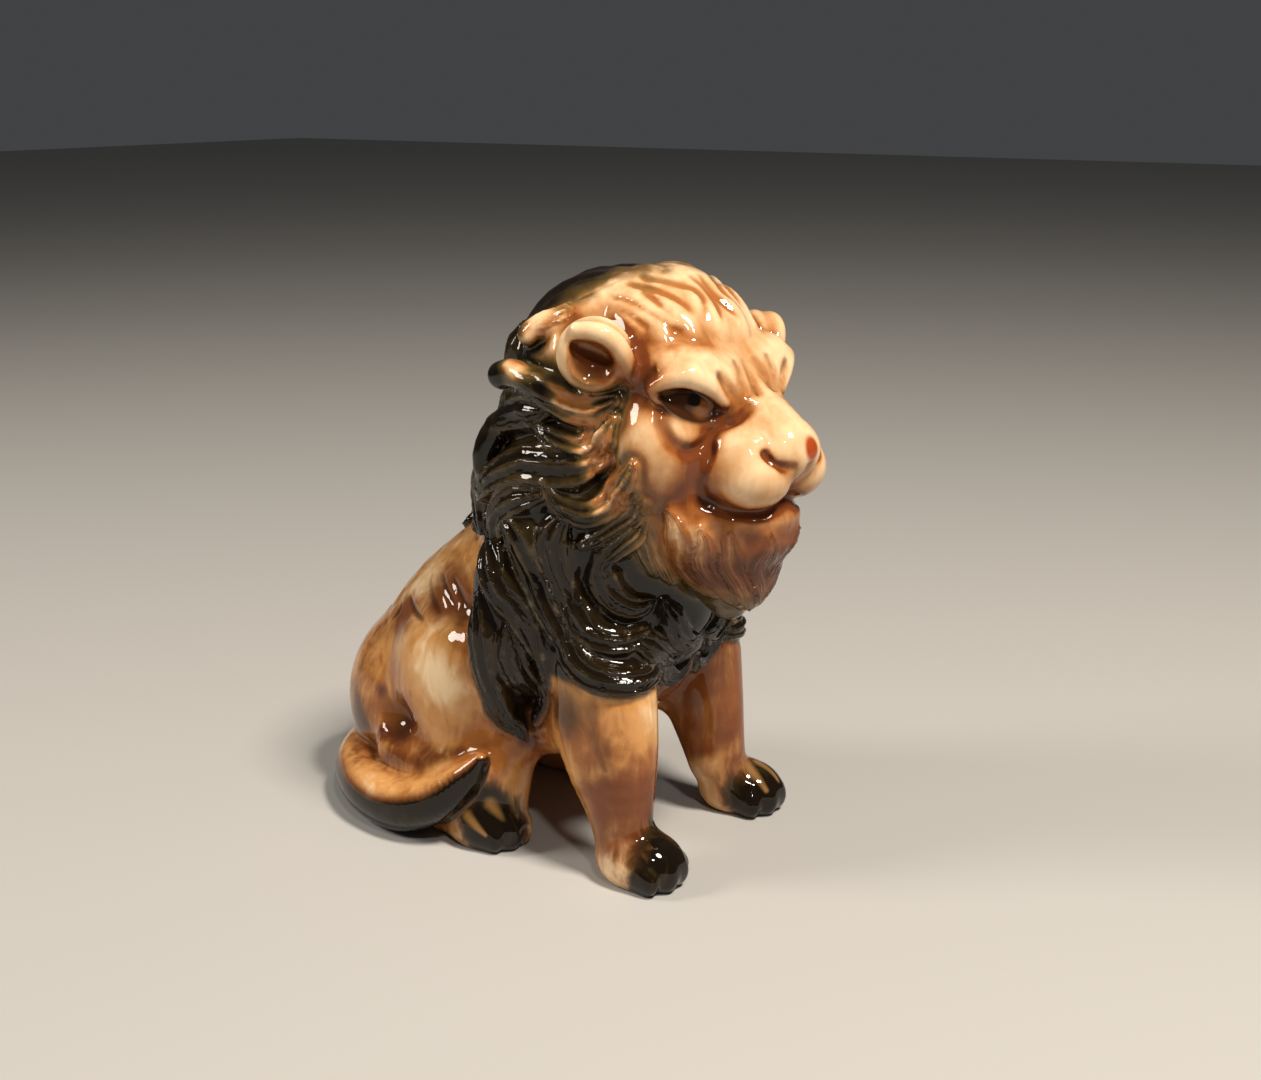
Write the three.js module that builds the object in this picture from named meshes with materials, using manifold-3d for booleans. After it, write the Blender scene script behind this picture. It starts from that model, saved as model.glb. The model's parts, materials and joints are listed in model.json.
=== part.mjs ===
// A seated lion figurine in glazed porcelain, slip cast in one piece.
//
// Millimetres, +Z up. The lion sits on the plane z = 0 and looks along -Y; its right side is -X.
// The body is a signed distance field: round forms are blended into each other, locks of hair are
// laid on the mane, and creases are pressed in. The field is meshed, its flat stretches are thinned
// out, and the underside is cut flat where the figurine stands.
import * as THREE from 'three';
import { mergeVertices } from 'three/addons/utils/BufferGeometryUtils.js';
import Module from 'manifold-3d';

// Driving dimensions
const CELL = 1.25; // size of the sampling cell
const TRIANGLES = 9400; // what is kept of the sampled surface
const FACE_CARE = 5; // how much finer the face is kept than the body
const HEAD_TURN = THREE.MathUtils.degToRad(8); // the head looks a little to the lion's right
const HEAD_PIVOT = -12; // y of the neck's axis
const MANE_AXIS = -3; // y of the upright axis that the mane's locks are laid around
const COMB = 0.16; // depth of the grooves between a lock's strands, as a share of its thickness
const SINK = 0.25; // how far a lock is sunk into the mane, as a share of its thickness
const MOAT_DEPTH = 0.4; // how deep the skin is pressed down along a lock's edge
const MOAT_WIDTH = 1; // how far that reaches to either side of the edge
const LINE_WIDTH = 0.9; // half width of the fine lines in the short hair
const LINE_DEPTH = 0.6; // depth of those lines
const FLOOR_REACH = 200; // size of the block that trims the underside
const SPAN = { lo: [-46, -62, -7], hi: [46, 82, 138] }; // room that holds the whole form

// Distances and blends

function smoothMin(a, b, k) {
  if (k <= 0) return Math.min(a, b);
  const h = Math.min(1, Math.max(0, 0.5 + (0.5 * (b - a)) / k));
  return b + (a - b) * h - k * h * (1 - h);
}

function spline(points, steps) {
  if (points.length === 2) {
    const [a, b] = points;
    return Array.from({ length: steps + 1 }, (_, i) => a.map((v, n) => v + ((b[n] - v) * i) / steps));
  }
  const first = points[0].map((v, n) => 2 * v - points[1][n]);
  const last = points.at(-1).map((v, n) => 2 * v - points.at(-2)[n]);
  const all = [first, ...points, last];
  const out = [];
  for (let i = 0; i + 3 < all.length; i += 1) {
    const [a, b, c, d] = all.slice(i, i + 4);
    for (let s = 0; s < steps; s += 1) {
      const t = s / steps;
      out.push(b.map((v, n) => 0.5 * (2 * v + (c[n] - a[n]) * t
        + (2 * a[n] - 5 * v + 4 * c[n] - d[n]) * t * t
        + (3 * v - a[n] - 3 * c[n] + d[n]) * t * t * t)));
    }
  }
  out.push([...points.at(-1)]);
  return out;
}

// Shapes: each has a box lo..hi and a distance at(x, y, z)

function ball(centre, radii, turn = [0, 0, 0]) {
  const [rx, ry, rz] = radii;
  const [tx, ty, tz] = turn.map((v) => THREE.MathUtils.degToRad(v));
  const back = new THREE.Matrix4().makeRotationFromEuler(new THREE.Euler(tx, ty, tz, 'ZYX')).transpose();
  const m = back.elements;
  const reach = Math.max(...radii);
  return {
    lo: centre.map((v) => v - reach),
    hi: centre.map((v) => v + reach),
    at(px, py, pz) {
      const x = px - centre[0];
      const y = py - centre[1];
      const z = pz - centre[2];
      const u = (m[0] * x + m[4] * y + m[8] * z) / rx;
      const v = (m[1] * x + m[5] * y + m[9] * z) / ry;
      const w = (m[2] * x + m[6] * y + m[10] * z) / rz;
      const k0 = Math.hypot(u, v, w);
      const k1 = Math.hypot(u / rx, v / ry, w / rz);
      return (k0 * (k0 - 1)) / Math.max(k1, 1e-6);
    },
  };
}

// The nearest place on a path: its distance, its share of the length and the way out to the point
function nearest(path, x, y, z, found) {
  found.distance = Infinity;
  for (let i = 0; i + 1 < path.length; i += 1) {
    const a = path[i];
    const b = path[i + 1];
    const ux = b[0] - a[0];
    const uy = b[1] - a[1];
    const uz = b[2] - a[2];
    const dot = (x - a[0]) * ux + (y - a[1]) * uy + (z - a[2]) * uz;
    const t = Math.min(1, Math.max(0, dot / Math.max(ux * ux + uy * uy + uz * uz, 1e-9)));
    const vx = x - a[0] - t * ux;
    const vy = y - a[1] - t * uy;
    const vz = z - a[2] - t * uz;
    const distance = Math.sqrt(vx * vx + vy * vy + vz * vz) - (a.length > 3 ? a[3] + (b[3] - a[3]) * t : 0);
    if (distance < found.distance) {
      found.distance = distance;
      found.step = i;
      found.t = t;
      found.x = vx;
      found.y = vy;
      found.z = vz;
    }
  }
  return found;
}

function boxAround(path, reach) {
  return {
    lo: [0, 1, 2].map((n) => Math.min(...path.map((p) => p[n])) - reach),
    hi: [0, 1, 2].map((n) => Math.max(...path.map((p) => p[n])) + reach),
  };
}

// A round limb along a smooth path; the fourth number of a point is the radius
function limb(points, steps = 5) {
  const path = spline(points, steps);
  const found = {};
  return {
    ...boxAround(path, Math.max(...path.map((p) => p[3]))),
    at: (x, y, z) => nearest(path, x, y, z, found).distance,
  };
}

// A flat, tapering lock of hair on a path with its own outward directions
function lock(path, outward, width, thick, strands, comb) {
  const found = {};
  const count = path.length - 1;
  return {
    ...boxAround(path, Math.max(width, thick)),
    at(x, y, z) {
      nearest(path, x, y, z, found);
      const i = found.step;
      const share = (i + found.t) / count;
      const n = outward[i].map((v, k) => v + (outward[i + 1][k] - v) * found.t);
      const fullness = Math.min(1, 3.2 * share + 0.35) * Math.sqrt(Math.max(0.02, 1.02 - share ** 2.5));
      const halfWidth = width * fullness;
      const lift = found.x * n[0] + found.y * n[1] + found.z * n[2];
      const sx = found.x - lift * n[0];
      const sy = found.y - lift * n[1];
      const sz = found.z - lift * n[2];
      const side = Math.sqrt(sx * sx + sy * sy + sz * sz);
      const t = path[i + 1].map((v, k) => v - path[i][k]);
      const cross = (t[1] * n[2] - t[2] * n[1]) * sx + (t[2] * n[0] - t[0] * n[2]) * sy
        + (t[0] * n[1] - t[1] * n[0]) * sz;
      const across = Math.min(1.2, side / halfWidth) * Math.sign(cross);
      const crest = 0.5 - 0.5 * Math.cos(Math.PI * strands * (across + 1));
      const pressed = Math.abs(across) < 0.95 ? 1 - comb * (1 - crest) : 1;
      const halfThick = thick * (0.4 + 0.6 * fullness) * pressed;
      const k = Math.sqrt((side / halfWidth) ** 2 + (lift / halfThick) ** 2);
      return (k - 1) * Math.min(halfWidth, halfThick) * 0.9;
    },
  };
}

// The head is turned about an upright axis, and its forms are placed as if it looked straight ahead

const COS = Math.cos(HEAD_TURN);
const SIN = Math.sin(HEAD_TURN);

function toHead(x, y) {
  const dy = y - HEAD_PIVOT;
  return [x * COS - dy * SIN, HEAD_PIVOT + x * SIN + dy * COS];
}

function fromHead(x, y) {
  const dy = y - HEAD_PIVOT;
  return [x * COS + dy * SIN, HEAD_PIVOT - x * SIN + dy * COS];
}

// The form: a list of steps, each taken on its own frame of the point

class Form {
  constructor(steps = []) {
    this.steps = [...steps];
  }

  push(kind, shape, blend, { both = true, head = false } = {}) {
    this.steps.push({ kind, shape, blend, frame: (both ? 1 : 0) + (head ? 2 : 0) });
    return this;
  }

  add(shape, blend = 4, where = {}) {
    return this.push('add', shape, blend, where);
  }

  cut(shape, blend = 1, where = {}) {
    return this.push('cut', shape, blend, where);
  }

  // Adds a shape and presses the skin down all round it, so that its edge stays crisp
  lay(shape, blend = 1, where = {}) {
    return this.push('lay', shape, blend, where);
  }

  // A crease of a given radius and depth pressed along a path
  crease(points, radius, depth, where = {}) {
    const path = spline(points.map((p) => p.slice(0, 3)), 4);
    const found = {};
    const last = path.length - 1;
    const shape = {
      ...boxAround(path, 2.2 * radius),
      at(x, y, z) {
        nearest(path, x, y, z, found);
        const share = (found.step + found.t) / last;
        const ends = where.open ? 1 : Math.sqrt(Math.max(0, 4 * share * (1 - share)));
        return depth * ends * Math.exp(-((found.distance / radius) ** 2));
      },
    };
    return this.push('press', shape, 0, where);
  }

  // Signed distance at a point, good near the surface; near limits how far out it is worked out
  at(x, y, z, near = 6) {
    const [hx, hy] = toHead(x, y);
    let d = 1000;
    for (const { kind, shape, blend, frame } of this.steps) {
      const qx = frame & 2 ? hx : x;
      const px = frame & 1 ? -Math.abs(qx) : qx;
      const py = frame & 2 ? hy : y;
      const reach = kind === 'press' ? 0 : near + blend;
      const { lo, hi } = shape;
      if (px < lo[0] - reach || px > hi[0] + reach) continue;
      if (py < lo[1] - reach || py > hi[1] + reach) continue;
      if (z < lo[2] - reach || z > hi[2] + reach) continue;
      if (kind === 'press') {
        if (Math.abs(d) < near) d += shape.at(px, py, z);
      } else if (kind === 'add') {
        d = smoothMin(d, shape.at(px, py, z), blend);
      } else if (kind === 'lay') {
        const v = shape.at(px, py, z);
        d = smoothMin(d + MOAT_DEPTH * Math.exp(-((v / MOAT_WIDTH) ** 2)), v, blend);
      } else {
        d = -smoothMin(-d, shape.at(px, py, z), blend);
      }
    }
    return d;
  }

  slope(x, y, z, step) {
    const g = [
      this.at(x + step, y, z) - this.at(x - step, y, z),
      this.at(x, y + step, z) - this.at(x, y - step, z),
      this.at(x, y, z + step) - this.at(x, y, z - step),
    ];
    const length = Math.hypot(...g) || 1;
    return g.map((v) => v / length);
  }
}

const MIDDLE = { both: false };
const FACE = { head: true };
const FACE_MIDDLE = { both: false, head: true };
const FACE_OPEN = { head: true, open: true };
const FACE_LINE = { both: false, head: true, open: true };

// Torso, rump and haunches

function addTorso(form) {
  form.add(ball([0, 48, 20], [20, 22, 21.5]), 0, MIDDLE);
  form.add(limb([[0, 10, 60, 20], [0, 32, 42, 21], [0, 44, 26, 21.5]]), 8, MIDDLE);
  form.add(ball([0, -3, 50], [18, 21, 22]), 8, MIDDLE);
  form.add(ball([0, 12, 38], [16, 20, 16]), 8, MIDDLE);
}

function addHindLegs(form) {
  form.add(ball([-17, 28, 33], [11, 15, 19], [-8, 0, 0]), 5);
  form.add(ball([-20, 21, 41], [7.5, 8, 9]), 5);
  form.add(limb([[-21, 41, 16, 6.6], [-22.6, 30, 14.5, 7], [-21.6, 17, 17, 7.5]]), 5);
  form.add(limb([[-17, 14, 26, 7], [-20, 14, 12, 6.5]]), 4);
  form.add(limb([[-21, 39, 6, 6.5], [-21.5, 28, 4.5, 6], [-22.5, 17, 5, 7]]), 3);
  form.cut(ball([-27, 40.5, 24.5], [6, 5.4, 4.4], [0, 0, 20]), 3);
}

// The left front leg is a little slimmer than the right one and stands a little further back
function addFrontLegs(form) {
  for (const [side, slim] of [[-1, 0], [1, 1]]) {
    const x = side * slim;
    form.add(ball([side * (15 - 1.5 * slim), -6, 50], [10, 14, 17]), 6, MIDDLE);
    form.add(limb([[side * 19 - x, -11, 46, 8.5 - slim], [side * 19.3 - x, -10.5, 35, 7.8 - slim],
      [side * 20 - x, -12, 25, 6.9 - slim], [side * 20.4 - x, -16.8, 13, 5]]), 4, MIDDLE);
    form.add(limb([[side * 19 - x, -16, 47, 7.8 - slim], [side * 19.6 - x, -17.5 + 0.6 * slim, 42, 8 - slim],
      [side * 20.4 - x, -19 + slim, 28, 7.6 - slim], [side * 20.5 + 0.3 * x, -20 + slim, 13, 5.8],
      [side * 20.5 + 2.5 * x, -20 + slim, 6, 6.4]]), 4, MIDDLE);
  }
  form.add(limb([[-17, -8, 32, 6], [-15.5, 1, 28, 6], [-14.5, 10, 26, 6.5], [-15, 16, 22, 6]]), 5);
}

// A paw is a round pad with four toes in front of it
function addPaw(form, x, y, spread) {
  const toes = [[-5.4, 2.2, 0.86], [-1.9, 0, 1], [1.9, 0, 1], [5.4, 2.2, 0.86]];
  form.add(ball([x, y, 4.6], [7.8, 9.6, 6.9]), 3, MIDDLE);
  for (const [aside, back, size] of toes) {
    const toe = ball([x + aside * spread, y - 5.7 + back, 3.9 * size], [2.4 * size, 4, 4.1 * size], [0, 0, 2.5 * aside]);
    form.add(toe, 1, MIDDLE);
  }
}

function addPaws(form) {
  addPaw(form, -20.6, -24.5, 1);
  addPaw(form, 25, -23.2, 1);
  addPaw(form, -22.7, 15.2, 0.9);
  addPaw(form, 22.7, 15.2, 0.9);
}

// The tail lies round the right haunch and its tip climbs the hind leg
function addTail(form) {
  const path = [[0, 58, 12, 7], [-8, 62, 7.5, 7], [-18, 57, 6.5, 7], [-26.5, 46, 6.5, 6.8],
    [-30.2, 34, 7, 6.4], [-30.6, 24, 11, 5.2], [-29.5, 17, 17, 3.6], [-28.5, 13, 22, 1.6]];
  form.add(limb(path, 6), 2, MIDDLE);
}

function addManeMass(form) {
  form.add(ball([0, -3, 57], [25.5, 23.5, 18]), 6, MIDDLE);
  form.add(ball([0, -2, 78], [28.5, 27.5, 27]), 6, MIDDLE);
  form.add(ball([0, -5.5, 103.5], [25, 22.5, 23]), 6, MIDDLE);
  form.add(limb([[-21, 8, 62, 9], [-22, 9.5, 48, 8], [-21.5, 11, 34, 4.5]]), 4);
}

// Skull, brow, muzzle, cheeks, chin and beard, in the head's own frame

const DOME = { centre: [0, -18, 111.7], radii: [16.5, 14.5, 17.3] };

function addHead(form) {
  form.add(ball([0, -20, 106], [19.5, 17.5, 18]), 5, FACE_MIDDLE);
  form.add(ball(DOME.centre, DOME.radii), 4.5, FACE_MIDDLE);
  form.add(limb([[-16.5, -28.5, 109.5, 4], [-12.5, -33.5, 109.8, 5], [-6, -35.5, 107.5, 5.5]]), 4, FACE);
  form.add(limb([[0, -27, 101, 11], [0, -37, 98.5, 9.5], [0, -46.8, 94.7, 7.2]]), 5, FACE_MIDDLE);
  form.add(ball([0, -49.6, 94.4], [6.5, 5, 4.6]), 2.5, FACE_MIDDLE);
  form.add(ball([-5.9, -44.3, 89.6], [7.8, 8.3, 7]), 1.5, FACE);
  form.add(ball([-6.5, -41, 94.5], [6.5, 8, 6]), 3, FACE);
  form.add(ball([-9.5, -36, 91], [6, 7, 7]), 3, FACE);
  form.add(ball([-15, -27, 94], [8.5, 9.5, 12]), 4, FACE);
  form.add(ball([0, -42, 80], [9.5, 7.8, 5]), 2, FACE_MIDDLE);
  form.add(ball([-8, -33, 80], [9, 9, 8]), 4, FACE);
  form.add(ball([0, -40.5, 75.5], [8.5, 8, 4.5]), 3, FACE_MIDDLE);
  form.add(limb([[0, -30, 76, 13], [0, -34, 68, 9.5], [0, -34.5, 60.5, 4.5]]), 4, FACE_MIDDLE);
}

// Locks of hair: each passes places given by the turn about the mane's axis, the height and a lift.
// A row holds the places, the half width and the half thickness.

const SIDE_LOCKS = [
  [[[55, 104], [66, 102], [78, 103], [95, 105.5], [110, 106.5, 1]], 4.8, 4],
  [[[80, 119.5], [92, 118], [103, 114.5, 1.5]], 3.2, 3],
  [[[56, 100], [60, 96.5], [70, 93.2], [84, 94.8], [97, 97.5, 0.5]], 4.4, 4],
  [[[88, 101], [104, 100], [117, 97, 1], [126, 93, 2]], 5, 4],
  [[[58, 92], [78, 89.5], [98, 89], [117, 85], [132, 79, 1]], 6, 4.2],
  [[[49, 92], [52, 86.5], [58, 82.5], [67, 80.5], [78, 82], [86, 86, 1]], 3.8, 4],
  [[[45, 85], [48, 80.5], [59, 76.5], [72, 73.5, 0.5]], 3.2, 3],
  [[[41, 79.5], [50, 75.5], [59, 71.5], [66, 66, 0.5]], 3.2, 3],
  [[[86, 84], [101, 81.5], [112, 77.5], [115, 72], [110, 68, 0.5]], 3.8, 3.2],
  [[[109, 78], [99, 74], [94, 67], [89, 60.5], [80, 54.5], [74, 50, 0.5]], 5, 3.4],
  [[[76, 80], [82, 74], [80, 67], [74, 60], [70, 56]], 4.2, 3],
  [[[124, 76], [114, 69], [105, 62], [98, 55], [92, 47], [90, 40]], 4.5, 3],
  [[[116, 60], [114, 50], [114, 40], [116, 31], [112, 26]], 4, 2.8],
  [[[104, 54], [104, 45], [106, 37], [108, 30]], 3.6, 2.6],
];

const BIB_LOCKS = [
  [[[62, 72], [60, 66], [55, 62], [46, 60], [36, 61]], 4, 3],
  [[[74, 64], [71, 58], [64, 54.5], [52, 53.5], [38, 55]], 4.2, 3],
  [[[80, 56], [74, 51], [66, 47.5], [54, 46], [40, 46], [28, 49]], 4, 2.8],
  [[[48, 54], [36, 50], [24, 47], [12, 48]], 3.8, 2.8],
  [[[30, 60], [24, 54], [14, 50], [4, 50]], 3.6, 2.6],
  [[[36, 47], [26, 43.5], [14, 41.5], [4, 44]], 3.6, 2.8],
];

const BEARD_LOCKS = [
  [[[48, 87], [46, 80], [42, 73], [36, 67]], 3.4, 1.7],
  [[[43, 84], [39, 77], [33, 70], [27, 65]], 3.6, 1.8],
  [[[36, 82], [32, 75], [27, 69], [20, 64]], 3.4, 1.8],
  [[[29, 79], [26, 73], [20, 67], [13, 62]], 3.4, 1.8],
  [[[21, 78], [18, 71], [13, 65], [7, 60]], 3.2, 1.8],
  [[[12, 77], [10, 70], [6, 64], [1, 58.5]], 3.2, 1.8],
  [[[3, 77], [2, 70], [-2, 62]], 3, 1.8],
];

// Round rolls of hair that end on the mane's outline: turn, height, lift and radius
const ROLLS = [
  [[66, 102, -1, 1.6], [82, 103.5, 0, 2.4], [98, 106, 0.6, 2.9], [110, 107, 1.6, 3.1], [118, 106, 3, 3]],
  [[90, 120, -1, 1.6], [97, 117.5, 0.8, 2.5], [104, 114.5, 1.8, 2.6]],
  [[100, 100.5, -1, 2], [114, 98, 0.6, 2.8], [125, 94, 2.1, 3.2], [129, 88, 1.4, 3], [128, 82, -0.4, 2]],
];

// The back of the mane: rows that hang in the same way, every other row set aside by half a lock
function rearLocks() {
  const rows = 3;
  const drop = 13;
  const across = 17;
  const locks = [];
  for (let row = 0; row < rows; row += 1) {
    for (let n = 0; n < 3; n += 1) {
      const turn = 138 + across * n + (row % 2 ? across / 2 : 0);
      const z = 112 - drop * row - 2 * n;
      if (turn > 181) continue;
      locks.push([[[turn - 8, z + 4], [turn, z - 2], [turn + 3, z - 9], [turn - 3, z - 15, 1]], 4.8, 3.2]);
    }
  }
  return locks;
}

// Walks in from outside, along a way from a centre, to the form's skin
function skin(form, centre, way, start) {
  let reach = start;
  for (let i = 0; i < 80; i += 1) {
    const gap = form.at(...centre.map((v, k) => v + way[k] * reach), 200);
    if (gap < 0.02) break;
    reach -= Math.max(0.02, gap * 0.8);
  }
  return centre.map((v, k) => v + way[k] * reach);
}

// Lays places on the mane; side is 1 on the lion's right and -1 on its left
function laid(form, places, side, sink) {
  const path = [];
  const outward = [];
  for (const [turn, z, lift] of spline(places.map(([a, b, c = 0]) => [a, b, c]), 3)) {
    const angle = side * THREE.MathUtils.degToRad(turn);
    const p = skin(form, [0, MANE_AXIS, z], [-Math.sin(angle), -Math.cos(angle), 0], 60);
    const n = form.slope(...p, 0.6);
    path.push(p.map((v, k) => v + n[k] * (lift - sink)));
    outward.push(n);
  }
  return { path, outward };
}

function addLocks(form, bare) {
  for (const side of [1, -1]) {
    for (const places of ROLLS) {
      const radii = spline(places, 3).map((p) => p[3]);
      const { path } = laid(bare, places, side, 0);
      form.lay(limb(path.map((p, i) => [...p, radii[i]]), 1), 1.2, MIDDLE);
    }
    for (const [places, width, thick] of [...SIDE_LOCKS, ...BIB_LOCKS, ...rearLocks()]) {
      const { path, outward } = laid(bare, places, side, thick * SINK);
      form.lay(lock(path, outward, width, thick, 3, COMB), 1.2, MIDDLE);
    }
  }
}

function addBeard(form, bare) {
  for (const [places, width, thick] of BEARD_LOCKS) {
    const { path, outward } = laid(bare, places, 1, thick * SINK);
    const turned = outward.map(([x, y, z]) => {
      const [hx, hy] = toHead(x, y + HEAD_PIVOT);
      return [hx, hy - HEAD_PIVOT, z];
    });
    const inHead = path.map(([x, y, z]) => [...toHead(x, y), z]);
    form.add(lock(inHead, turned, width, thick, 2, COMB), 1.6, FACE);
  }
}

// The hair on the skull: a smooth cap with a few broad swells, strands at the back and fine lines.
// Places are given by the turn and the rise round the dome's middle. A swell or strand adds its radius
// and how deep it is sunk, as a share of the radius.

const SWELLS = [[76, 15], [55, 16], [34, 17], [12, 16]];
const BACK_STRANDS = [116, 134, 152, 171];
const CROWN_LINES = [
  [[92, 31], [80, 27], [71, 23], [64, 20]],
  [[128, 38], [104, 38], [84, 37], [70, 32], [58, 27], [48, 20], [40, 17]],
  [[78, 47], [66, 42], [55, 34], [45, 27]],
  [[128, 46], [104, 50], [80, 51], [62, 48], [48, 44], [38, 38], [31, 30]],
  [[106, 60], [60, 60], [30, 55], [19, 47], [20, 37], [24, 25]],
  [[14, 68], [4, 56], [4, 42], [8, 30], [12, 19]],
];

function skullStrands() {
  const rows = [];
  for (const [turn, end] of SWELLS) {
    const sweep = 36 * Math.min(1, turn / 36);
    rows.push([[turn + sweep, end + 34, 1.5, 0.9], [turn + sweep * 0.5, end + 19, 3.2, 0.78],
      [turn + sweep * 0.1, end + 7, 3.2, 0.74], [turn, end, 1.8, 0.65]]);
  }
  for (const turn of BACK_STRANDS) {
    rows.push([[turn - 22, 72, 1.2, 1], [turn - 8, 52, 2.4, 0.7], [turn, 32, 2.8, 0.6],
      [turn + 3, 14, 2.4, 0.6], [turn - 2, 2, 1.4, 0.8]]);
  }
  return rows;
}

function onDome(bare, places) {
  const inHead = { at: (x, y, z, near) => bare.at(...fromHead(x, y), z, near) };
  return spline(places, 3).map(([turn, rise, radius = 0, sunk = 0]) => {
    const a = THREE.MathUtils.degToRad(turn);
    const e = THREE.MathUtils.degToRad(rise);
    const way = [-Math.sin(a) * Math.cos(e), -Math.cos(a) * Math.cos(e), Math.sin(e)];
    const p = skin(inHead, DOME.centre, way, 34);
    return [...p.map((v, k) => v - way[k] * radius * sunk), radius];
  });
}

function addSkullHair(form, bare) {
  for (const places of skullStrands()) form.add(limb(onDome(bare, places), 1), 2.2, FACE);
}

// Ears, eyes and the carving of the face

const EAR_TURN = 42; // how far the ears look aside, in degrees

// An ear is a thick disc with a bowl, a deeper hollow and a fold that runs from its top to the cheek
function addEar(form, side, x, y, z, size) {
  const angle = THREE.MathUtils.degToRad(EAR_TURN);
  const outward = [side * Math.cos(angle), -Math.sin(angle), 0];
  const backward = [side * Math.sin(angle), Math.cos(angle), 0];
  const at = (out, back, up) => [side * x, y, z].map((v, k) => (
    v + size * (out * outward[k] + back * backward[k] + (k === 2 ? up : 0))
  ));
  const disc = (place, radii, tilt = 0) => (
    ball(at(...place), radii.map((r) => r * size), [tilt, 0, side * -EAR_TURN])
  );
  form.add(disc([0, 0, 0], [4.6, 7.6, 7.6]), 2, FACE_MIDDLE);
  form.cut(disc([5.2, 0.6, -1.1], [4.4, 5.1, 5.3]), 1.2, FACE_MIDDLE);
  form.cut(disc([2.4, 0.4, 0.6], [3.4, 4.6, 2.4], 26), 0.8, FACE_MIDDLE);
  const fold = [[2.8, 3.4, 5.4, 1.5], [3.7, -0.8, 5, 2], [3.8, -4.2, 2.8, 2], [2.8, -6.4, -1, 1.8],
    [0.8, -7.4, -4.6, 1.5]];
  const roll = fold.map(([out, back, up, radius]) => [...at(out, back, up), radius * size]);
  form.add(limb(roll), 1.4, FACE_MIDDLE);
}

function addEyes(form) {
  const tilt = [0, 20, -42];
  form.cut(ball([-14.7, -35.7, 104], [7.4, 2.8, 3.5], tilt), 1, FACE);
  form.add(ball([-12.2, -32.6, 103.8], [7.2, 4.2, 4.6], tilt), 0.3, FACE);
  form.add(limb([[-19.8, -30.4, 107.2, 1.3], [-18.2, -33.4, 109.2, 1.9], [-15.6, -35.9, 109.8, 2.2],
    [-12.2, -38.1, 107.9, 2.1], [-9, -39.5, 104.4, 1.5]]), 1.2, FACE);
  form.add(limb([[-19.6, -30.5, 105.6, 0.7], [-17.3, -33.4, 102.7, 0.9], [-14.4, -35.6, 100.6, 0.9],
    [-11, -37.4, 99.8, 0.8], [-8.8, -39, 101, 0.6]]), 1.2, FACE);
  form.add(ball([-15.4, -34, 97.4], [5, 2.8, 2.9], [0, 12, -42]), 1.5, FACE);
}

const FURROWS = [
  [[-1.6, -39, 112], [-2.4, -42, 106.8], [-2.9, -43.2, 104.5]],
  [[-5.2, -39.4, 112], [-5.4, -41.6, 108], [-5.2, -42.8, 105]],
  [[-11, -39.4, 110], [-8.6, -41, 106.4], [-7, -42.3, 103.4]],
  [[-22, -27.5, 108.4], [-20, -29, 110.4], [-18.8, -30.6, 111]],
];

function pressFace(form) {
  form.crease([[-18.9, -31.4, 104], [-20, -33.2, 99.6], [-18.9, -35.2, 96.3], [-15.7, -37.1, 95],
    [-10.6, -38.8, 97.6], [-7.6, -41, 100.4]], 1.3, 1.2, FACE);
  form.crease([[-5.5, -43.5, 104], [-9.8, -40.8, 97], [-14, -39.2, 93.5], [-15.4, -38.2, 89.9],
    [-14.3, -38.2, 86], [-12.5, -40.2, 83.6]], 1.3, 1.6, FACE);
  form.crease([[-14, -38, 85], [-12, -41, 83.4], [-9.2, -43.8, 82.3], [-5.5, -47.6, 82.4]], 0.9, 1.3, FACE);
  form.crease([[-5.5, -47.6, 82.4], [-2.5, -49.3, 84.2], [0, -50, 85.4]], 0.9, 1, FACE_OPEN);
  form.crease([[0, -50.5, 85], [0, -53, 89], [0, -54.5, 92]], 0.8, 1.1, FACE_LINE);
  form.crease([[-8, -48.6, 95.8], [-8.2, -49.2, 94.2], [-6.9, -50.9, 92.7], [-5, -52.6, 92.2],
    [-3.4, -53.6, 92.6]], 0.9, 0.8, FACE);
  form.crease([[-8, -49.2, 94.7], [-7.7, -49.8, 94]], 1, 0.5, FACE_OPEN);
  for (const furrow of FURROWS) form.crease(furrow, 1.2, 0.7, FACE);
}

// Fine lines: on the crown, and the two tufts behind the mane
const TUFTS = [
  [[-15.4, 37.6, 57.1], [-19.1, 33.5, 53.5], [-22.3, 28.1, 50.8]],
  [[-15.8, 33.1, 58.6], [-18.5, 30.1, 56.2], [-21.3, 24.9, 52.4]],
  [[-17.8, 28.3, 58.6], [-19.9, 24.3, 55.3], [-21.1, 21.9, 52.8]],
  [[-14.5, 46.1, 49.1], [-15.9, 46.4, 46.7], [-15.5, 49.5, 43.7]],
  [[-14.9, 43.7, 51], [-18.9, 39.1, 49.5], [-23.1, 32.3, 48.6]],
  [[-10.6, 48, 51], [-12.6, 50, 48], [-12.2, 53, 45]],
];

function pressLines(form, bare) {
  for (const line of CROWN_LINES) form.crease(onDome(bare, line), LINE_WIDTH, LINE_DEPTH, FACE);
  for (const line of TUFTS) form.crease(line, LINE_WIDTH, LINE_DEPTH);
}

function lionForm() {
  const bare = new Form();
  addTorso(bare);
  addHindLegs(bare);
  addFrontLegs(bare);
  addPaws(bare);
  addTail(bare);
  addManeMass(bare);
  addHead(bare);
  const form = new Form(bare.steps);
  addLocks(form, bare);
  addBeard(form, bare);
  addEar(form, -1, 24.6, -19.3, 113.3, 1);
  addEar(form, 1, 25.2, -20.8, 109.4, 1.03);
  addSkullHair(form, bare);
  addEyes(form);
  pressFace(form);
  pressLines(form, bare);
  return form;
}

// Sampling: the grid is filled only in blocks that the surface can reach

const BLOCK = 5; // cells along a block's side

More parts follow.
